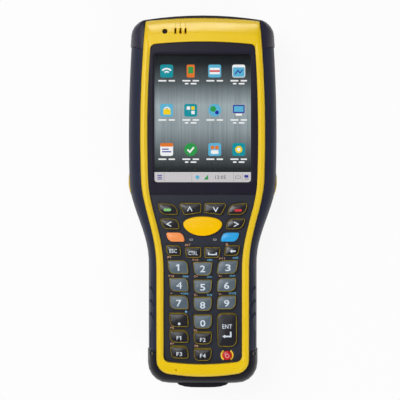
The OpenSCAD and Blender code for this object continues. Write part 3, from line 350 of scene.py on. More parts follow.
def lit_colour(name, hex_code, glow):
    """One flat colour of the lit picture, with the faint grid of its pixels."""
    material, tree, at = blank(name)
    grid = add(tree, "ShaderNodeTexChecker", {"Vector": at, "Scale": per_mm(0.22),
                                              "Color1": linear(hex_code), "Color2": linear(hex_code)})
    return lit(material, varied(tree, grid.outputs["Color"], grid.outputs["Fac"], 0.96, 1.04), glow)


# ---- Shapes, in millimetres ----

FILM_T = 0.03  # mm, thickness of a print
CORNER_STEPS = 4  # facets of a round corner
MIN_RADIUS = 0.001
LETTER_SPACING = 1.08
DRAPE_STEP = 0.4  # mm between the cuts that let a flat legend follow a crowned key
ABOVE_ALL = 100  # mm, higher than any point of the terminal


def mesh_of(curve):
    """Turns a curve into a mesh, and removes it."""
    holder = bpy.data.objects.new("holder", curve)
    mesh = bpy.data.meshes.new_from_object(holder)
    bpy.data.objects.remove(holder)
    bpy.data.curves.remove(curve)
    return mesh


def mesh_from(bm, name):
    """Turns a BMesh into a new mesh, and frees it."""
    mesh = bpy.data.meshes.new(name)
    bm.to_mesh(mesh)
    bm.free()
    return mesh


def placed(name, data):
    """A new object in the scene."""
    obj = bpy.data.objects.new(name, data)
    bpy.context.scene.collection.objects.link(obj)
    return obj


def cut_from_film(loops, thickness=FILM_T):
    """A thin flat piece from closed outlines; an outline inside another is a hole."""
    curve = bpy.data.curves.new("outlines", "CURVE")
    curve.dimensions = "2D"
    curve.fill_mode = "BOTH"
    curve.extrude = thickness / 2
    for loop in loops:
        spline = curve.splines.new("POLY")
        spline.points.add(len(loop) - 1)
        for point, (x, y) in zip(spline.points, loop):
            point.co = (x, y, 0, 1)
        spline.use_cyclic_u = True
    return mesh_of(curve)


def lettered(text, height, width=None, bold=0.0, thickness=FILM_T):
    """Thin letters of a given height and width, about their own middle."""
    curve = bpy.data.curves.new("letters", "FONT")
    curve.body = text
    curve.size = 1
    curve.offset = bold
    curve.space_character = LETTER_SPACING
    curve.resolution_u = 3
    mesh = mesh_of(curve)
    low, high = extent(mesh)
    grow = height / (high.y - low.y)
    across = width / (high.x - low.x) if width else grow
    mid = (low + high) / 2
    mesh.transform(Matrix.Diagonal((across, grow, 1, 1)) @ Matrix.Translation((-mid.x, -mid.y, 0)))
    return thicken(mesh, thickness)


def thicken(mesh, thickness):
    """Turns a flat face set into a closed thin solid about z 0."""
    bm = bmesh.new()
    bm.from_mesh(mesh)
    bmesh.ops.remove_doubles(bm, verts=bm.verts, dist=1e-4)
    made = bmesh.ops.extrude_face_region(bm, geom=bm.faces[:])
    top = [v for v in made["geom"] if isinstance(v, bmesh.types.BMVert)]
    bmesh.ops.translate(bm, verts=top, vec=(0, 0, thickness))
    bmesh.ops.translate(bm, verts=bm.verts, vec=(0, 0, -thickness / 2))
    bmesh.ops.recalc_face_normals(bm, faces=bm.faces)
    bm.to_mesh(mesh)
    bm.free()
    return mesh


def extent(mesh):
    """Lowest and highest corner of a mesh."""
    spots = [v.co for v in mesh.vertices]
    return (Vector([min(c[i] for c in spots) for i in range(3)]),
            Vector([max(c[i] for c in spots) for i in range(3)]))


def moved(mesh, x, y, z=0.0, turn=0.0):
    mesh.transform(Matrix.Translation((x, y, z)) @ Matrix.Rotation(math.radians(turn), 4, "Z"))
    return mesh


def flat(loops, x, y, z=0.0, turn=0.0, thickness=FILM_T):
    """A thin flat piece from outlines, turned in degrees and moved to its place."""
    return moved(cut_from_film(loops, thickness), x, y, z, turn)


def arc(x, y, radius, start, end, steps):
    """Points of an arc from one angle to another, in degrees."""
    angles = [math.radians(start + (end - start) * i / steps) for i in range(steps + 1)]
    return [(x + radius * math.cos(a), y + radius * math.sin(a)) for a in angles]


def disc(x, y, radius, steps=24):
    return arc(x, y, radius, 0, 360, steps)[:-1]


def sector_ring(x, y, inner, outer, start, end, steps=16):
    return arc(x, y, outer, start, end, steps) + arc(x, y, inner, end, start, steps)


def slab(x, y, w, h, r=0.0):
    """Outline of a rectangle about x, y, with round corners."""
    r = max(r, MIN_RADIUS)
    corners = [(1, 1, 0), (-1, 1, 90), (-1, -1, 180), (1, -1, 270)]
    return [p for sx, sy, a in corners
            for p in arc(x + sx * (w / 2 - r), y + sy * (h / 2 - r), r, a, a + 90, CORNER_STEPS)]


def stroke(points, width):
    """Outline of a bent line with mitred corners."""
    left, right = [], []
    for i, (x, y) in enumerate(points):
        before = Vector(points[max(i - 1, 0)])
        after = Vector(points[min(i + 1, len(points) - 1)])
        here = Vector((x, y))
        a = (here - before).normalized() if i else (after - here).normalized()
        b = (after - here).normalized() if i < len(points) - 1 else a
        across = (a + b).normalized()
        across = Vector((-across.y, across.x)) * (width / 2) / max(0.5, (a + b).length / 2)
        left.append(tuple(here + across))
        right.append(tuple(here - across))
    return left + right[::-1]


def draped(mesh, surface, lift):
    """Lays a thin flat solid on a surface, lift above it."""
    low, high = extent(mesh)
    bm = bmesh.new()
    bm.from_mesh(mesh)
    for axis in range(2):
        way = Vector((1 - axis, axis, 0))
        for i in range(1, math.ceil((high[axis] - low[axis]) / DRAPE_STEP)):
            bmesh.ops.bisect_plane(bm, geom=bm.verts[:] + bm.edges[:] + bm.faces[:],
                                   plane_co=way * (low[axis] + DRAPE_STEP * i), plane_no=way)
    bm.to_mesh(mesh)
    bm.free()
    for v in mesh.vertices:
        hit = surface.ray_cast(Vector((v.co.x, v.co.y, ABOVE_ALL)), Vector((0, 0, -1)))[0]
        if hit is None:
            raise ValueError("nothing to lie on at %.2f, %.2f" % (v.co.x, v.co.y))
        v.co.z += hit.z + lift
    return mesh


def piece(name, parts, finishes, body, smooth=False):
    """One object from parts, each a mesh in millimetres with the number of its finish."""
    bm = bmesh.new()
    for mesh, number in parts:
        first = len(bm.faces)
        bm.from_mesh(mesh)
        bm.faces.ensure_lookup_table()
        for face in bm.faces[first:]:
            face.material_index = number
            face.smooth = smooth
        bpy.data.meshes.remove(mesh)
    bmesh.ops.scale(bm, vec=(MM, MM, MM), verts=bm.verts)
    mesh = mesh_from(bm, name)
    for finish in finishes:
        mesh.materials.append(finish)
    obj = placed(name, mesh)
    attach(obj, body)
    return obj


def ringed(rings, caps=True):
    """A closed solid through rings of points, each ring counter-clockwise from above."""
    bm = bmesh.new()
    loops = [[bm.verts.new(p) for p in ring] for ring in rings]
    n = len(loops[0])
    for low, high in zip(loops, loops[1:]):
        for i in range(n):
            j = (i + 1) % n
            bm.faces.new((low[i], low[j], high[j], high[i]))
    if caps:
        bm.faces.new(loops[0][::-1])
        bm.faces.new(loops[-1])
    return mesh_from(bm, "rings")


def box_mm(name):
    """Lowest and highest corner of a CAD node at rest."""
    low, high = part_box(name)
    return low / MM, high / MM


def surface_of(mesh, unit=1.0):
    """What rays meet on a mesh, in millimetres; the unit is what one of them is in the mesh."""
    spots = [v.co / unit for v in mesh.vertices]
    return BVHTree.FromPolygons(spots, [tuple(p.vertices) for p in mesh.polygons])


def dress(names, material, split=36):
    """Gives CAD solids their finish, smooth across their facets and crisp at their edges."""
    for name in names:
        obj = NODE[name]
        obj.data.materials.clear()
        obj.data.materials.append(material)
        if "custom_normal" in obj.data.attributes:
            obj.data.attributes.remove(obj.data.attributes["custom_normal"])
        obj.data.shade_smooth()
        obj.modifiers.new("Join", "WELD").merge_threshold = 1e-6
        edges = obj.modifiers.new("Edges", "EDGE_SPLIT")
        edges.split_angle = math.radians(split)
        obj.modifiers.new("Flats", "WEIGHTED_NORMAL").keep_sharp = True


# ---- Keys ----

KEY_NAMES = [name for name in NODE if name.startswith("key_")]
SLATE_KEYS = ["key_%d" % i for i in range(10)]
COLOURED_KEYS = ["key_scan", "key_orange", "key_blue"]
SHOULDER = 0.9  # mm from a key's top down to where the CAD cap starts to narrow
SAME_LEVEL = 0.02  # mm within which points count as being at one height
CAP_INSET = 0.6  # mm that the cap narrows up to its top
CAP_SWELL = 0.15  # mm that it stands out towards its lip
CAP_POINTS = 96
EDGE_STEPS = 8  # facets of a cap's rounded edge
CROWN_SCALES = (0.92, 0.8, 0.65, 0.45, 0.2)  # rings of a cap's top, as shares of its outline
RIM_HIGHLIGHT_FADE = 0.75  # share of the rim's painted highlight that is lost over the rounded edge
FLANGE_T = 1.2  # mm, the flange under a cap that holds it in the housing
FLANGE_W = 0.8
FLANGE_STEP = 0.05  # mm of height in which the flange draws in to the sides
HEAD_STEP = 0.1  # and in which the sides widen to the head
LIP_OUT = 0.57  # mm from the CAD cap to the outside of its lip
LIP_MID = 0.36  # and to where its dark side, painted shade, meets its gold edge, painted lighter where light falls
LIP_IN = 0.2  # and to its inside
LIP_BEVEL = 0.08  # mm across that its crest's outer edge is bevelled, and half of it the inner edge
LIP_EASE = 0.12  # and down
LIP_SUNK = 0.05  # mm that it reaches into the overlay
LIP_BELOW = 0.6  # mm from a key's top down to the top of its lip
LIP_LEAN = 0.5  # mm that the upper side of a lip would slope far below the keypad
LEAN_START = -32  # mm along; a key whose upper end is here has no slope yet, and each lower one has more
LEAN_RUN = 80
LEAN_LEAST = 0.1
LIP_FACING = 0.35  # a slope starts where the lip's side faces the head by more than this
LOW_LIP = 0.17  # mm that the lip of a coloured key stands above the overlay


def resampled(loop, count):
    """The same closed outline through evenly spaced points."""
    closed = loop + loop[:1]
    steps = [(b - a).length for a, b in zip(closed, closed[1:])]
    total = sum(steps)
    out, i, walked = [], 0, 0.0
    for k in range(count):
        want = total * k / count
        while walked + steps[i] < want:
            walked += steps[i]
            i += 1
        out.append(closed[i].lerp(closed[i + 1], (want - walked) / steps[i]))
    return out


def cap_outline(name):
    """A key's outline below its rounding, counter-clockwise about its middle."""
    top = box_mm(name)[1].z
    spots = {(round(v.co.x / MM, 3), round(v.co.y / MM, 3)) for v in NODE[name].data.vertices
             if abs(v.co.z / MM - top + SHOULDER) < SAME_LEVEL}
    mid = sum((Vector(p) for p in spots), Vector((0, 0))) / len(spots)
    loop = sorted((Vector(p) for p in spots), key=lambda p: math.atan2(p.y - mid.y, p.x - mid.x))
    softer = [p for a, b in zip(loop, loop[1:] + loop[:1]) for p in (a.lerp(b, 0.25), a.lerp(b, 0.75))]
    return resampled(softer, CAP_POINTS)


def grown(loop, by):
    """An outline moved out by this many millimetres, for one whose corners are wide enough."""
    out = []
    for before, here, after in zip(loop[-1:] + loop[:-1], loop, loop[1:] + loop[:1]):
        way = (after - before).normalized()
        out.append(here + Vector((way.y, -way.x)) * by)
    return out


def span(loop):
    """Middle and half size of an outline."""
    low = Vector((min(p.x for p in loop), min(p.y for p in loop)))
    high = Vector((max(p.x for p in loop), max(p.y for p in loop)))
    return (low + high) / 2, (high - low) / 2


def drawn_in(loop, by):
    """An outline narrowed by this many millimetres on each side."""
    mid, half = span(loop)
    across, along = 1 - by / half.x, 1 - by / half.y
    return [mid + Vector(((p.x - mid.x) * across, (p.y - mid.y) * along)) for p in loop]


def domed(loop, s):
    """An outline scaled by s about its middle, and the rounder the smaller it is."""
    mid, half = span(loop)
    out = []
    for p in loop:
        way = p - mid
        oval = way / Vector((way.x / half.x, way.y / half.y)).length
        out.append(mid + s * oval.lerp(way, s))
    return out


def key_cap(name, round_mm, crown_mm, over_mm):
    """Mesh of a key: flange, straight sides, a head that may reach over its lip, rounded edge and
    crowned top. Each point has a value that says how near it is to the rim, which the keytop finish turns
    into a painted highlight."""
    sides = cap_outline(name)
    low, high = box_mm(name)
    flange = grown(sides, FLANGE_W)
    head = grown(sides, over_mm)
    shoulder = high.z - crown_mm
    rings = [(flange, low.z, 1), (flange, low.z + FLANGE_T - FLANGE_STEP, 1), (sides, low.z + FLANGE_T, 1),
             (sides, shoulder - round_mm - HEAD_STEP, 1)]
    for i in range(EDGE_STEPS + 1):
        a = math.radians(90 * i / EDGE_STEPS)
        edge = drawn_in(head, CAP_INSET * (1 - math.cos(a)))
        rings.append((edge, shoulder - round_mm * (1 - math.sin(a)), 1 - RIM_HIGHLIGHT_FADE * i / EDGE_STEPS))
    for s in CROWN_SCALES:
        rings.append((domed(edge, s), shoulder + crown_mm * (1 - s * s), (1 - RIM_HIGHLIGHT_FADE) * s))
    mesh = ringed([[(p.x, p.y, z) for p in ring] for ring, z, _ in rings])
    # the rim value lightens the cap's colour there: a painted highlight
    rim = [value for ring, _, value in rings for _ in ring]
    mesh.attributes.new("rim", "FLOAT", "POINT").data.foreach_set("value", rim)
    return mesh


def lip_slope(cap, foot, crest, lean):
    """The slope on the upper side of a lip, from its crest down to the overlay."""
    crests, feet = grown(cap, LIP_OUT - LIP_BEVEL), grown(cap, LIP_OUT)
    inset, over = 0.1, 0.01
    rows = []
    for here, below in zip(crests, feet):
        facing = (below - here).normalized().y - LIP_FACING
        if facing > 0:
            fall = lean * min(1, facing * 3)
            rows.append((here.x, [(here.x, here.y - inset, foot), (here.x, here.y - inset, crest + over),
                                  (here.x, here.y, crest + over), (below.x, below.y + fall, foot)]))
    rows.sort(key=lambda row: row[0])
    return ringed([row for _, row in rows])


def key_lip(name, overlay_top):
    """Parts of the lip round a key, each with its finish: 0 for its dark outer side, painted shade,
    1 for its gold inner edge and its slope, a lighter copy painted where light falls."""
    cap = cap_outline(name)
    coloured = name in COLOURED_KEYS
    foot = overlay_top - LIP_SUNK
    crest = overlay_top + LOW_LIP if coloured else box_mm(name)[1].z - LIP_BELOW
    sections = [[(LIP_OUT, foot), (LIP_OUT, crest - LIP_EASE), (LIP_OUT - LIP_BEVEL, crest),
                 (LIP_MID, crest), (LIP_MID, foot)],
                [(LIP_MID, foot), (LIP_MID, crest), (LIP_IN + LIP_BEVEL / 2, crest),
                 (LIP_IN, crest - LIP_EASE / 2), (LIP_IN, foot)]]
    parts = []
    for finish, section in enumerate(sections):
        rings = [[(p.x, p.y, z) for p in grown(cap, out)] for out, z in section + section[:1]]
        parts.append((ringed(rings, caps=False), finish))
    lean = LIP_LEAN * min(1, (LEAN_START - box_mm(name)[1].y) / LEAN_RUN)
    if lean > LEAN_LEAST and not coloured:
        parts.append((lip_slope(cap, foot, crest, lean), 1))
    return parts


# ---- Legends ----

DIGIT_H = 3.7  # mm
DIGIT_W = 2.9
DIGIT_BOLD = 0.015
WORD_H = 2.2
WORD_BOLD = 0.012
FN_W = 3.05
CHEVRON_W = 0.56
LEGEND_LIFT = 0.05  # mm that a legend stands above its key


# These three return a function that makes the mesh of a legend, about its own middle
def chevron(w, h, turn):
    return lambda: flat([stroke([(-w / 2, -h / 2), (0, h / 2), (w / 2, -h / 2)], CHEVRON_W)], 0, 0, 0, turn)


def word(text, height, width, bold=WORD_BOLD):
    return lambda: lettered(text, height, width, bold)


def outline(*loops):
    return lambda: cut_from_film(loops)


def one(h):
    """The numeral 1, with a flag."""
    stem, flag = h * 0.24, h * 0.3
    return [(-stem / 2, -h / 2), (stem / 2, -h / 2), (stem / 2, h / 2), (-stem * 0.3, h / 2),
            (-stem / 2 - flag, h / 2 - flag * 0.6), (-stem / 2 - flag * 0.8, h / 2 - flag * 1.15),
            (-stem / 2, h / 2 - flag * 0.8)]


def arrow_left(w, h, stem):
    """Arrow with a triangular head."""
    head = 0.42 * w
    return [(-w / 2, 0), (-w / 2 + head, h / 2), (-w / 2 + head, stem / 2), (w / 2, stem / 2),
            (w / 2, -stem / 2), (-w / 2 + head, -stem / 2), (-w / 2 + head, -h / 2)]


def return_arrow(w, h, stem):
    """Arrow that comes down and turns left."""
    head, base = 0.3 * w, -h / 2 + h * 0.28
    return [(-w / 2, base), (-w / 2 + head, base + h * 0.28), (-w / 2 + head, base + stem / 2),
            (w / 2 - stem, base + stem / 2), (w / 2 - stem, h / 2), (w / 2, h / 2),
            (w / 2, base - stem / 2), (-w / 2 + head, base - stem / 2), (-w / 2 + head, base - h * 0.28)]


# Numerals made as words, with the places of their middles
DIGITS = {"2": (-0.03, -36.8), "3": (13.9, -36.2), "5": (-0.03, -46.9), "6": (13.14, -46.02),
          "7": (-13.08, -55.67), "8": (-0.03, -56.77), "9": (13.14, -55.73), "0": (0.03, -66.7)}
# Key, place of a legend's middle across and along, its ink, and what stands there
LEGENDS = [("key_" + digit, place, "ink", word(digit, DIGIT_H, DIGIT_W, DIGIT_BOLD))
           for digit, place in DIGITS.items()] + [
    ("key_green", (-19.39, -4.42), "green", outline(slab(0, 0, 4.1, 1.4, 0.68))),
    ("key_red", (19.47, -4.74), "red", outline(slab(0, 0, 4.1, 1.4, 0.68))),
    ("key_up", (-7.1, -4.0), "ink", chevron(2.5, 2.3, 0)),
    ("key_down", (7.1, -4.17), "ink", chevron(2.5, 2.3, 180)),
    ("key_left", (-18.46, -12.23), "ink", chevron(2.5, 2.4, 90)),
    ("key_right", (18.29, -12.29), "ink", chevron(2.5, 2.4, -90)),
    ("key_esc", (-16.2, -27.0), "ink", word("ESC", 2.15, 4.1)),
    ("key_ctrl", (-5.35, -28.2), "ink", word("CTRL", 2.1, 4.95)),
    ("key_space", (5.35, -28.45), "ink",
     outline(stroke([(-2.1, 0.75), (-2.1, -0.5), (2.1, -0.5), (2.1, 0.75)], 0.65))),
    ("key_backspace", (16.43, -27.1), "ink", outline(arrow_left(3.3, 2.1, 0.8))),
    ("key_1", (-13.3, -36.04), "ink", outline(one(DIGIT_H))),
    ("key_4", (-12.92, -45.85), "ink", word("4", DIGIT_H, 3.2, 0.0)),
    ("key_point", (-12.92, -66.97), "ink", outline(disc(0, 0, 0.72))),
    ("key_enter", (13.47, -68.45), "ink", word("ENT", 2.35, 5.3)),
    ("key_enter", (13.3, -73.1), "ink", outline(return_arrow(5.0, 3.6, 0.85))),
    ("key_f1", (-13.75, -74.71), "ink", word("F", WORD_H, 1.1)),
    ("key_f1", (-12.05, -74.71), "ink", outline(one(WORD_H))),
    ("key_f2", (0.08, -75.8), "ink", word("F2", WORD_H, FN_W)),
    ("key_f3", (-12.86, -83.54), "ink", word("F3", WORD_H, FN_W)),
    ("key_f4", (0.08, -84.5), "ink", word("F4", WORD_H, FN_W)),
    ("key_power", (13.4, -84.4), "blush", outline(sector_ring(0, -0.1, 0.85, 1.2, 130, 410))),
    ("key_power", (13.4, -84.4), "blush", outline(slab(0, 0.75, 0.34, 1.3, 0.15))),
] + [("key_scan", (x, -13.16), "pip", outline(disc(0, 0, 0.42))) for x in (-4.85, -0.1, 4.65)] + [
    ("key_5", (x, -46.1), "dot", outline(disc(0, 0, 0.25))) for x in (-2.9, 2.8)]
INK = {"green": "#84C878", "red": "#D23438", "pip": "#FFD23C", "dot": "#93A0AA", "blush": "#EDB4B8"}

# Small print on the overlay, by colour: text and its middle; the letters of a telephone's keys
# and the second functions of a computer's
PRINT_H = 1.15
MINUS_H = 0.3
PRINT_W = {1: 0.9, 2: 1.9, 3: 3.0, 4: 4.1}  # mm, by the number of letters
PRINT_BOLD = 0.02
PRINTS = {
    "orange": [("ALT", -8.34, -23.77), ("F9", -18.35, -30.54), ("F10", -4.04, -31.97), ("F11", 10.59, -31.25),
               ("F12", -17.25, -40.83), ("C+", -3.77, -41.1), ("V+", 9.66, -40.83), ("C-", -3.77, -51.29),
               ("V-", 9.66, -50.85), ("F5", -16.81, -69.4), ("F6", -3.88, -70.8), ("F7", -16.81, -78.2),
               ("F8", -3.49, -79.4), ("-", -17.25, -50.35)],
    "blue": [("ABC", 3.82, -31.97), ("DEF", 18.08, -30.93), ("GHI", -9.55, -41.11), ("JKL", 3.66, -41.38),
             ("MNO", 16.32, -40.83), ("PQRS", -9.99, -50.57), ("TUV", 3.71, -51.4), ("WXYZ", 16.32, -50.46)],
}
FRAME_MARKS = ((-6.36, -20.83), (6.69, -20.83))  # pale frames below the scan key
RING_MARK = (13.34, -23.6)
STAR_MARK = (-9.16, -60.5)
STAR_R = (0.8, 0.45)  # mm, to its points and between them
PRINT_INK = {"orange": "#E6AE80", "blue": "#74BCE6", "pale": "#B0A8A6"}

# ---- Screen picture: plain icons in columns and rows ----

SCREEN_W = 53.0
SCREEN_H = 70.4
ICON_COLUMNS = 4
ICON_ROWS = 3
ICON_DOWN = 0.42  # share of a row from its top to the middle of its icons
CAPTIONS = ((9.2, 0.55), (6.4, 0.4))  # length of each line of a caption, and the share before its gap
CAPTION_H = 0.8
CAPTION_GAP = 0.6
CAPTION_DOWN = 1.8  # mm from an icon to its caption
CAPTION_PITCH = 1.6


def line(*numbers):
    """Outline of a bent line from its points, across and along in turn, and its width."""
    *places, width = numbers
    return stroke(list(zip(places[::2], places[1::2])), width)


def bow(x, y, inner, outer):
    return sector_ring(x, y, inner, outer, 40, 140)


def hoop(x, y, inner, outer):
    return sector_ring(x, y, inner, outer, 0, 180)


# Icons of side 1, from the back forwards: colour, shape and its measures
TILE = (slab, 0, 0, 1, 1, 0.16)
ICONS = [
    [("teal", *TILE), ("white", bow, 0, -0.25, 0.375, 0.5), ("white", bow, 0, -0.25, 0.15, 0.26)],
    [("orange", slab, 0, 0, 0.62, 1, 0.1), ("green", slab, 0, 0.075, 0.4, 0.52)],
    [("sky", *TILE), ("white", slab, 0, 0, 0.78, 0.5), ("red", slab, 0, 0, 0.78, 0.13)],
    [("white", *TILE), ("sky", slab, 0, -0.08, 0.9, 0.74, 0.08),
     ("navy", line, -0.3, -0.25, -0.05, 0.05, 0.1, -0.15, 0.3, 0.1, 0.09)],
    [("sky", *TILE), ("yellow", slab, 0.025, -0.1, 0.56, 0.46), ("white", hoop, 0.025, 0.05, 0.14, 0.23)],
    [("teal", *TILE), ("white", slab, -0.18, 0.17, 0.26, 0.26), ("white", slab, 0.18, -0.17, 0.26, 0.26),
     ("yellow", slab, 0.18, 0.17, 0.26, 0.26)],
    [("sky", disc, 0, 0, 0.5), ("green", disc, -0.125, 0.1, 0.225), ("navy", disc, 0.175, -0.175, 0.15)],
    [("navy", slab, 0, 0.1, 0.9, 0.62, 0.05), ("white", slab, 0, -0.34, 0.5, 0.16),
     ("sky", slab, 0, 0.1, 0.74, 0.44)],
    [("white", *TILE), ("orange", slab, 0, 0.36, 1, 0.28, 0.1), ("navy", slab, -0.1, 0.025, 0.5, 0.09),
     ("navy", slab, 0, -0.175, 0.7, 0.09)],
    [("green", disc, 0, 0, 0.5), ("white", line, -0.25, 0, -0.06, -0.2, 0.25, 0.175, 0.13)],
    [("sky", *TILE), ("orange", disc, -0.17, 0.15, 0.15), ("orange", disc, 0.17, 0.15, 0.15),
     ("white", slab, 0, -0.2, 0.6, 0.3, 0.1)],
    [("teal", *TILE), ("yellow", disc, 0, 0, 0.275), ("white", disc, 0, 0, 0.14)],
]
PICTURE_INK = {"white": "#F2F4F4", "grey": "#CDC9CC", "line": "#8A8A88", "teal": "#0F93A0",
               "sky": "#5DB4D6", "orange": "#E2762A", "navy": "#26309A", "green": "#2C9A4A",
               "red": "#D42C30", "yellow": "#F4D21C", "black": "#303030"}


# ---- Operators ----


class TERMINAL_OT_housing(bpy.types.Operator):
    """Finish the front and rear housings, the bezel, the overlay and the screws"""
    bl_idname = "terminal.housing"
    bl_label = "Housing"

    def execute(self, context):
        look = context.scene.terminal_shell
        yellow, charcoal, grain = look.yellow, look.charcoal, look.grain
        dress(["front_housing"], moulded_abs("Moulded ABS, yellow", yellow, grain, 0.008, 0.33, gloss=0.3))
        dress(["side_trigger_left", "side_trigger_right", "battery_latch"],
              moulded_abs("Moulded ABS, yellow button", yellow, grain, 0.008, 0.42))
        dress(["rear_housing"], moulded_abs("Moulded ABS, charcoal", charcoal, grain, 0.03, 0.5, gloss=0.2))
        dress(["display_bezel"],
              moulded_abs("Painted ABS bezel", look.bezel, 0.2 * MM, 0.004, 0.32, gloss=0.18))
        dress(["keypad_overlay"], textured_pet_film("Textured PET film", look.overlay))
        dress(["port_cover"], moulded_abs("Moulded PC port cover", look.bumper, grain, 0.01, 0.4, gloss=0.25))
        dress(["battery_pack"], moulded_abs("Moulded ABS, battery", charcoal, grain, 0.05, 0.55, gloss=0.3))
        dress(["housing_screws"], turned_steel("Zinc-plated steel"))
        return {"FINISHED"}


RIB = slab(0, 0, 0.55, 2.6, 0.27)
RIB_T = 0.12
RIB_SPOTS = ((-15.1, 97.4), (-12.35, 97.4), (-9.6, 97.4))  # mm, one above each speaker slot
LUG_MARK = slab(0, 0, 0.7, 1.7, 0.3)
LUG_MARK_T = 0.1
LUG_SPOTS = ((-27.9, -83.7), (27.9, -83.7))


def marks_on(node, loop, thickness, spots, lift):
    """The same small flat mark at each spot on a node, as parts of one piece."""
    surface = surface_of(NODE[node].data, MM)
    return [(draped(flat([loop], x, y, thickness=thickness), surface, lift), 0) for x, y in spots]


class TERMINAL_OT_trim(bpy.types.Operator):
    """Add the small raised marks: ribs above the speaker slots and lug marks on the foot bumper"""
    bl_idname = "terminal.trim"
    bl_label = "Trim"

    def execute(self, context):
        look = context.scene.terminal_shell
        # The ribs' paler yellow is a painted highlight, for the light caught in the scoops above the speaker
        # slots.
        painted_highlight = moulded_abs("Moulded ABS rib, paler as painted highlight", linear("#F4DC68"), look.grain, 0.004, 0.3, gloss=0.6)
        ribs = marks_on("front_housing", RIB, RIB_T, RIB_SPOTS, 0.0)
        piece("speaker_ribs", ribs, [painted_highlight], "housing")
        olive = moulded_abs("Moulded ABS, olive", look.rim, look.grain, 0.004, 0.4)
        marks = marks_on("bottom_bumper", LUG_MARK, LUG_MARK_T, LUG_SPOTS, 0.02)
        piece("lug_marks", marks, [olive], "housing")
        return {"FINISHED"}


TREAD_HUB = (11, 12)  # mm from a corner's outer side and end to the middle of its fan of ridges
TREAD_RIDGES = 9
TREAD_START = 18  # degrees from straight across to the first ridge
TREAD_PITCH = 7
TREAD_LEVELS = 9
TREAD_FOOT = 15  # mm above the resting plane
TREAD_RISE = 2.2  # mm from level to level
TREAD_HALF = 0.018  # half a ridge's angle, in radians
TREAD_SUNK = -0.1
TREAD_PROUD = 0.22
TREAD_REACH = 40  # mm, from outside the bumper


class TERMINAL_OT_rubber(bpy.types.Operator):
    """Finish the grips and bumpers and cut the tread of the top bumpers"""
    bl_idname = "terminal.rubber"
    bl_label = "Rubber"

    def execute(self, context):
        look = context.scene.terminal_shell
        grip = overmoulded_tpu("TPU overmould, grip", look.rubber, 0.42, gloss=0.1)
        dress(["side_grip_left", "side_grip_right"], grip)
        corner = overmoulded_tpu("TPU overmould, corner", look.corner, 0.36)
        dress(["top_bumper_left", "top_bumper_right"], corner)
        # The foot is the same rubber as the corners, drawn darker as painted shade.
        dress(["bottom_bumper"], overmoulded_tpu("TPU overmould, foot, painted shade", look.bumper, 0.36, gloss=0.12))
        for side, name in ((-1, "top_bumper_left"), (1, "top_bumper_right")):
            piece(name + "_tread", [(ridge, 0) for ridge in tread(name, side)], [corner], "housing")
        return {"FINISHED"}


def tread(name, side):
    """Low ridges round the outer corner of a top bumper."""
    surface = surface_of(NODE[name].data, MM)
    low, high = box_mm(name)
    hub = Vector((side * (max(abs(low.x), abs(high.x)) - TREAD_HUB[0]), high.y - TREAD_HUB[1]))
    ridges = []
    for i in range(TREAD_RIDGES):
        angle = math.radians(TREAD_START + TREAD_PITCH * i)
        rings = []
        for k in range(TREAD_LEVELS):
            start = Vector((hub.x, hub.y, TREAD_FOOT + TREAD_RISE * k))
            row = []
            for off, out in ((-TREAD_HALF, TREAD_SUNK), (0, TREAD_PROUD), (TREAD_HALF, TREAD_SUNK)):
                way = Vector((side * math.cos(angle + off), math.sin(angle + off), 0))
                hit = surface.ray_cast(start + way * TREAD_REACH, -way)[0]
                if hit is None:
                    break
                row.append(hit + way * out)
            if len(row) == 3:
                rings.append(row if side < 0 else row[::-1])
        if len(rings) > 2:
            ridges.append(ringed(rings))
    return ridges


class TERMINAL_OT_insides(bpy.types.Operator):
    """Finish the boards, frames, gaskets, scan engine and contacts"""
    bl_idname = "terminal.insides"
    bl_label = "Insides"

    def execute(self, context):
        dress(["mid_frame", "scan_engine"], die_cast("Die-cast magnesium", "#8A9096"))
        dress(["keypad_board", "main_board"], circuit_board("Glass-epoxy board"))
        dress(["keypad_membrane"], soft_silicone("Pressed silicone, milky", "#D6D6D0"))
        dress(["housing_gasket", "display_gasket"], soft_silicone("Pressed silicone, black", "#1A1A1D"))
        dress(["scan_window"], red_acrylic("Cast acrylic, red"))
        dress(["touch_panel"], hard_glass("Strengthened glass"))
        dress(["lcd_module"], die_cast("Folded steel tray", "#A8ACB0"))
        dress(["speaker", "trigger_switches"],
              moulded_abs("Moulded nylon, black", linear("#232327"), 0.3 * MM, 0.01, 0.45))
        dress(["status_led"], moulded_keytop("Smoked light pipe", linear("#241408"), 0.2, 0.08))
        dress(["dock_connector"], gold_faced("Dock contacts", "dock_connector", 0.15))
        dress(["battery_contacts"], gold_faced("Bay contacts", "battery_contacts", 0.1))
        return {"FINISHED"}


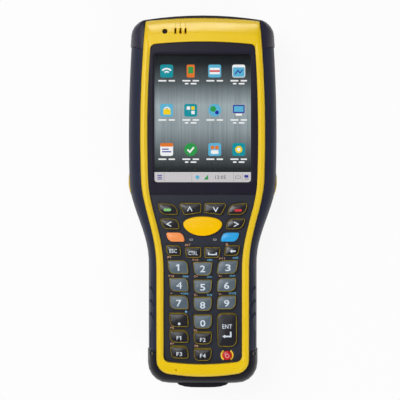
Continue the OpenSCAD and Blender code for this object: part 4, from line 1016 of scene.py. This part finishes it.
class TERMINAL_OT_keys(bpy.types.Operator):
    """Make the key caps with their rounded edges and printed legends"""
    bl_idname = "terminal.keys"
    bl_label = "Keys"

    def execute(self, context):
        look = context.scene.terminal_keys
        # The third number of each keytop is how much paler its rim is drawn, a painted highlight; the fourth
        # is its gloss.
        dark = moulded_keytop("Moulded PC keytop, dark", look.dark, 0.35, 0.6)
        slate = moulded_keytop("Moulded PC keytop, slate", look.slate, 0.4, 0.5)
        special = {"key_scan": moulded_keytop("Moulded PC keytop, amber", look.amber, 0.0, 0.15),
                   "key_orange": moulded_keytop("Moulded PC keytop, orange", look.orange, 0.15, 0.3),
                   "key_blue": moulded_keytop("Moulded PC keytop, blue", look.blue, 0.15, 0.3),
                   "key_power": moulded_keytop("Moulded PC keytop, red", look.red, 0.1, 0.3)}
        inks = {"ink": printed_ink("Printed ink, white", look.ink)}
        for name, hex_code in INK.items():
            inks[name] = printed_ink("Printed ink, " + name, linear(hex_code))
        for name in KEY_NAMES:
            finish = special.get(name, slate if name in SLATE_KEYS else dark)
            over = look.overhang / MM if name in COLOURED_KEYS else CAP_SWELL
            mesh = key_cap(name, look.roundness / MM, look.crown / MM, over)
            surface = surface_of(mesh)
            cap = piece(name + "_cap", [(mesh, 0)], [finish], name, smooth=True)
            cap.modifiers.new("Edges", "EDGE_SPLIT").split_angle = math.radians(50)
            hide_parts(name)
            marks = [(place, ink, make) for key, place, ink, make in LEGENDS if key == name]
            if marks:
                used = sorted({ink for _, ink, _ in marks})
                parts = [(draped(moved(make(), *place), surface, LEGEND_LIFT), used.index(ink))
                         for place, ink, make in marks]
                piece(name + "_legend", parts, [inks[ink] for ink in used], name)
        return {"FINISHED"}


POWER_ARC_IN = 2.65  # mm, inner radius of the two yellow arcs beside the power key
POWER_ARC_OUT = 3.52
POWER_ARC_HALF = 52  # degrees that each arc reaches either side of level
POWER_GAP = 0.12  # mm between the power key and the film round it
POWER_FILM_T = 0.3
POWER_ARC_T = 0.5


def small_print(z):
    """Parts of the print on the overlay, each with the number of its ink."""
    names = sorted(PRINT_INK)
    parts = []
    for ink, texts in PRINTS.items():
        for text, x, y in texts:
            letters = lettered(text, MINUS_H if text == "-" else PRINT_H, PRINT_W[len(text)], PRINT_BOLD)
            parts.append((moved(letters, x, y, z), names.index(ink)))
    frame_loops = [slab(0, 0, 1.9, 1.0, 0.4), slab(0, 0, 1.3, 0.5, 0.2)]
    parts += [(flat(frame_loops, x, y, z), names.index("pale")) for x, y in FRAME_MARKS]
    ring_loops = [disc(0, 0, 0.75), disc(0, -0.1, 0.3)]
    parts.append((flat(ring_loops, *RING_MARK, z), names.index("orange")))
    turns = [math.radians(36 * i + 18) for i in range(10)]
    star = [(STAR_R[i % 2] * math.cos(a), STAR_R[i % 2] * math.sin(a)) for i, a in enumerate(turns)]
    parts.append((flat([star], *STAR_MARK, z), names.index("blue")))
    return parts


def power_surround(overlay_top):
    """Parts of the ring round the power key: 0 for film, 1 for its two yellow arcs."""
    low, high = box_mm("key_power")
    cap = (high - low).x / 2 - FLANGE_W
    mid = (low + high) / 2
    film = [[disc(0, 0, POWER_ARC_IN, 48), disc(0, 0, cap + POWER_GAP, 48)]]
    arcs = []
    for side in (0, 180):
        film.append([sector_ring(0, 0, POWER_ARC_IN, POWER_ARC_OUT, side + POWER_ARC_HALF,
                                 side + 180 - POWER_ARC_HALF)])
        arcs.append([sector_ring(0, 0, POWER_ARC_IN, POWER_ARC_OUT, side - POWER_ARC_HALF,
                                 side + POWER_ARC_HALF)])
    return ([(flat(loops, mid.x, mid.y, overlay_top + 0.02, thickness=POWER_FILM_T), 0) for loops in film]
            + [(flat(loops, mid.x, mid.y, overlay_top, thickness=POWER_ARC_T), 1) for loops in arcs])


class TERMINAL_OT_overlay_print(bpy.types.Operator):
    """Lay the lips round the keys and the small print between them"""
    bl_idname = "terminal.overlay_print"
    bl_label = "Overlay print"

    def execute(self, context):
        look = context.scene.terminal_shell
        # The lip is the housing's yellow drawn in two shades: dark olive as painted shade on its sides, gold
        # on its inner edge and upper slope as the lit copy.
        lip = moulded_abs("Yellow ABS lip, painted shade", look.rim, 0.3 * MM, 0.004, 0.4, gloss=0.2)
        edge = moulded_abs("Yellow ABS lip edge, painted light and shade", look.strip, 0.3 * MM, 0.004, 0.4, gloss=0.3)
        overlay_top = box_mm("keypad_overlay")[1].z
        rims = [part for name in KEY_NAMES if name != "key_power" for part in key_lip(name, overlay_top)]
        piece("key_rims", rims, [lip, edge], "housing")
        inks = [printed_ink("Screen-printed ink, " + name, linear(hex_code))
                for name, hex_code in sorted(PRINT_INK.items())]
        piece("overlay_print", small_print(overlay_top + FILM_T / 2), inks, "housing")
        film = textured_pet_film("Textured PET film, power ring", look.overlay)
        enamel = printed_ink("Printed ink, bright yellow", linear("#FFD238"))
        piece("power_surround", power_surround(overlay_top), [film, enamel], "housing")
        return {"FINISHED"}


PICTURE_SPILL = 0.8  # mm that the picture is larger than what the bezel shows of it
PICTURE_LIFT = 0.02
PICTURE_T = 0.01
LEVEL_STEP = 0.015  # mm between a drawing's layers
LINE_W = 0.15


class TERMINAL_OT_screen(bpy.types.Operator):
    """Lay the lit picture on the display under the touch panel"""
    bl_idname = "terminal.screen"
    bl_label = "Screen"

    def execute(self, context):
        look = context.scene.terminal_screen
        touch_low, touch_high = box_mm("touch_panel")
        mid = (touch_low + touch_high) / 2
        w, h = SCREEN_W, SCREEN_H
        full = w + PICTURE_SPILL
        z = box_mm("lcd_module")[1].z + PICTURE_LIFT
        picture = flat([slab(0, 0, full, h + PICTURE_SPILL, 0.3)], mid.x, mid.y, z, thickness=0.02)
        glowing = lit_picture("Liquid crystal, lit", look.glow)
        piece("screen_picture", [(picture, 0)], [glowing], "housing")
        names = sorted(PICTURE_INK)
        inks = [lit_colour("Liquid crystal, " + name, PICTURE_INK[name], look.glow) for name in names]
        parts = []

        def show(loops, ink, level, x=0.0, y=0.0):
            height = z + PICTURE_LIFT + LEVEL_STEP * level
            parts.append((flat(loops, mid.x + x, mid.y + y, height, thickness=PICTURE_T), names.index(ink)))

        # Task bar: its top edge, dividers, menu mark, two signs, clock and pictures at the right
        bar = look.bar / MM
        bar_y = -h / 2 + bar / 2
        show([slab(0, 0, full, bar, 0.01)], "grey", 0, 0, bar_y)
        show([slab(0, 0, full, 0.18, 0.01)], "white", 1, 0, bar_y + bar / 2 - 0.1)
        for x in (-w / 2 + 5.2, -w / 2 + 20.5, w / 2 - 9.5, w / 2 - 4.6):
            show([slab(0, 0, LINE_W, bar * 0.85, 0.01)], "line", 1, x, bar_y)
        for i in (-1, 0, 1):
            show([slab(0, 0, 2.6, 0.5, 0.2)], "navy", 1, -w / 2 + 2.8, bar_y + i)
        show([[(-1.2, -1.3), (1.2, -1.3), (1.2, 1.5)]], "green", 1, 1.8, bar_y)
        show([disc(0, 0, 1.1)], "sky", 1, -2.9, bar_y)
        clock = lettered("12:05", 1.9, thickness=PICTURE_T)
        height = z + LEVEL_STEP + PICTURE_LIFT
        parts.append((moved(clock, mid.x + 9.8, mid.y + bar_y, height), names.index("black")))
        show([slab(0, 0, 3.0, 1.7, 0.2), slab(0, 0, 2.4, 1.1, 0.1)], "line", 1, w / 2 - 7.0, bar_y)
        show([slab(0, 0, 2.2, 1.4, 0.1)], "navy", 1, w / 2 - 2.4, bar_y + 0.5)
        show([slab(0, 0, 2.2, 0.5, 0.1)], "line", 1, w / 2 - 2.2, bar_y - 1.0)

        s = look.icon / MM
        for i, icon in enumerate(ICONS):
            x = (i % ICON_COLUMNS - (ICON_COLUMNS - 1) / 2) * w / ICON_COLUMNS
            y = h / 2 - (i // ICON_COLUMNS + ICON_DOWN) * (h - bar) / ICON_ROWS
            for level, (ink, shape, *measures) in enumerate(icon):
                show([shape(*[m * s for m in measures])], ink, level, x, y)
            for k, (run, share) in enumerate(CAPTIONS[:1 + i % 2]):
                split = run * share
                half_gap = CAPTION_GAP / 2
                words = [slab(-run / 2 + split / 2 - half_gap, 0, split - CAPTION_GAP, CAPTION_H, 0.3),
                         slab(split / 2 + half_gap, 0, run - split - CAPTION_GAP, CAPTION_H, 0.3)]
                show(words, "white", 0, x, y - s / 2 - CAPTION_DOWN - CAPTION_PITCH * k)
        piece("screen_icons", parts, inks, "housing")
        return {"FINISHED"}


AIM = Vector((0, 0, 0.02))  # metres, what the lamps point at
FLOOR_HALF = 3  # metres
FLOOR_DROP = 0.02  # mm below the terminal
FLOOR_WHITE = 0.9  # share of its light that the floor seems to give by itself
SKY_FADE = (0.3, 0.5)  # heights, as sines, between which the studio's white wall turns dark
SKY_DARK = 0.1  # share of the wall's light that is left overhead
SENSOR_MM = 36
LENS_MM = 98.5
FRAME_PX = 400
SHIFT_PX = (-2.7, 1.8)  # from the middle of the terminal to the middle of the frame


def area_light(name, place, size, power, size_y=None, mirrored=True):
    """A soft lamp that points at the middle."""
    lamp = bpy.data.lights.new(name, "AREA")
    lamp.shape = "RECTANGLE"
    lamp.size, lamp.size_y = size, size_y or size
    lamp.energy = power
    obj = placed(name, lamp)
    obj.location = place
    obj.rotation_euler = (AIM - Vector(place)).to_track_quat("-Z", "Y").to_euler()
    obj.visible_glossy = mirrored
    return obj


def gleam(name, place, size, power, size_y=None):
    """A lamp that shows only as a gloss on the front housing, like a strip of a studio's soft box."""
    obj = area_light(name, place, size, power, size_y)
    obj.visible_diffuse = False
    takers = bpy.data.collections.get("gleam") or bpy.data.collections.new("gleam")
    if not takers.objects:
        takers.objects.link(NODE["front_housing"])
    obj.light_linking.receiver_collection = takers


def seen_or_mirrored(tree):
    """1 for what the camera sees directly, in gloss or through glass."""
    path = add(tree, "ShaderNodeLightPath")
    both = add(tree, "ShaderNodeMath", {0: path.outputs["Is Camera Ray"], 1: path.outputs["Is Glossy Ray"]},
               operation="MAXIMUM")
    return add(tree, "ShaderNodeMath", {0: both.outputs["Value"], 1: path.outputs["Is Transmission Ray"]},
               operation="MAXIMUM").outputs["Value"]


class TERMINAL_OT_stage(bpy.types.Operator):
    """Put up the pale floor, the soft lights and the camera"""
    bl_idname = "terminal.stage"
    bl_label = "Stage"

    def execute(self, context):
        look = context.scene.terminal_stage
        scene = context.scene
        bm = bmesh.new()
        bmesh.ops.create_grid(bm, x_segments=1, y_segments=1, size=FLOOR_HALF)
        floor = placed("floor", mesh_from(bm, "floor"))
        floor.location.z = -FLOOR_DROP * MM
        material, tree, _ = blank("Matt white paper")
        matt = add(tree, "ShaderNodeBsdfDiffuse", {"Color": linear("#F4F4F4")})
        white = add(tree, "ShaderNodeEmission", {"Strength": 1.0})
        share = add(tree, "ShaderNodeMath", {0: seen_or_mirrored(tree), 1: FLOOR_WHITE}, operation="MULTIPLY")
        mixed = add(tree, "ShaderNodeMixShader", {0: share.outputs["Value"], 1: matt.outputs["BSDF"],
                                                  2: white.outputs["Emission"]})
        add(tree, "ShaderNodeOutputMaterial", {"Surface": mixed.outputs["Shader"]})
        floor.data.materials.append(material)

        world = bpy.data.worlds.new("Studio")
        scene.world = world
        world.use_nodes = True
        tree = world.node_tree
        tree.nodes.clear()
        # white at the horizon behind the object, darker overhead where the room has no lamps
        way = add(tree, "ShaderNodeTexCoord").outputs["Generated"]
        up = add(tree, "ShaderNodeSeparateXYZ", {"Vector": way}).outputs["Z"]
        fade = add(tree, "ShaderNodeMapRange", {"Value": up, "From Min": SKY_FADE[0], "From Max": SKY_FADE[1],
                                                "To Min": 1.0, "To Max": SKY_DARK},
                   interpolation_type="SMOOTHSTEP")
        level = add(tree, "ShaderNodeMix", {"Factor": seen_or_mirrored(tree), "A": look.ambient, "B": 1.0},
                    data_type="FLOAT")
        strength = add(tree, "ShaderNodeMath", {0: level.outputs["Result"], 1: fade.outputs["Result"]},
                       operation="MULTIPLY")
        sky = add(tree, "ShaderNodeBackground", {"Strength": strength.outputs["Value"]})
        add(tree, "ShaderNodeOutputWorld", {"Surface": sky.outputs["Background"]})

        area_light("key_light", (-0.46, 0.34, 0.95), 0.75, look.key * 0.88)
        gleam("brow_light", (0, 1.05, 0.42), 0.3, look.key * 0.6, size_y=0.35)
        gleam("left_light", (-0.87, 0, 0.5), 0.35, look.key * 0.15, size_y=0.9)
        gleam("right_light", (0.87, 0, 0.5), 0.35, look.key * 0.15, size_y=0.9)
        area_light("fill_light", (0.4, -0.75, 0.85), 0.5, look.key * 0.6, mirrored=False)

        lens = bpy.data.cameras.new("camera")
        lens.sensor_width = SENSOR_MM
        lens.lens = LENS_MM
        lens.shift_x, lens.shift_y = [shift / FRAME_PX for shift in SHIFT_PX]
        camera = placed("camera", lens)
        camera.location = (0, 0, look.camera_height)
        scene.camera = camera
        scene.view_settings.view_transform = "Standard"
        return {"FINISHED"}


class TERMINAL_PT_panel(bpy.types.Panel):
    """Buttons for each group of pieces, with their settings"""
    bl_idname = "TERMINAL_PT_panel"
    bl_label = "Data terminal"
    bl_space_type = "VIEW_3D"
    bl_region_type = "UI"
    bl_category = "Terminal"

    def draw(self, context):
        for operator in OPERATORS:
            self.layout.operator(operator.bl_idname)
        for name in SETTINGS:
            box = self.layout.box()
            settings = getattr(context.scene, name)
            for field in settings.bl_rna.properties:
                if field.identifier not in ("rna_type", "name"):
                    box.prop(settings, field.identifier)


OPERATORS = [TERMINAL_OT_stage, TERMINAL_OT_housing, TERMINAL_OT_trim, TERMINAL_OT_rubber,
             TERMINAL_OT_insides, TERMINAL_OT_keys, TERMINAL_OT_overlay_print, TERMINAL_OT_screen]
SETTINGS = {"terminal_shell": ShellSettings, "terminal_keys": KeySettings,
            "terminal_screen": ScreenSettings, "terminal_stage": StageSettings}


def register():
    for kind in list(SETTINGS.values()) + OPERATORS + [TERMINAL_PT_panel]:
        bpy.utils.register_class(kind)
    for name, kind in SETTINGS.items():
        setattr(bpy.types.Scene, name, PointerProperty(type=kind))


def unregister():
    for name in SETTINGS:
        delattr(bpy.types.Scene, name)
    for kind in [TERMINAL_PT_panel] + OPERATORS[::-1] + list(SETTINGS.values()):
        bpy.utils.unregister_class(kind)


def main():
    register()
    for operator in OPERATORS:
        group, name = operator.bl_idname.split(".")
        getattr(getattr(bpy.ops, group), name)()
    bpy.context.view_layer.update()


if __name__ == "__main__":
    main()
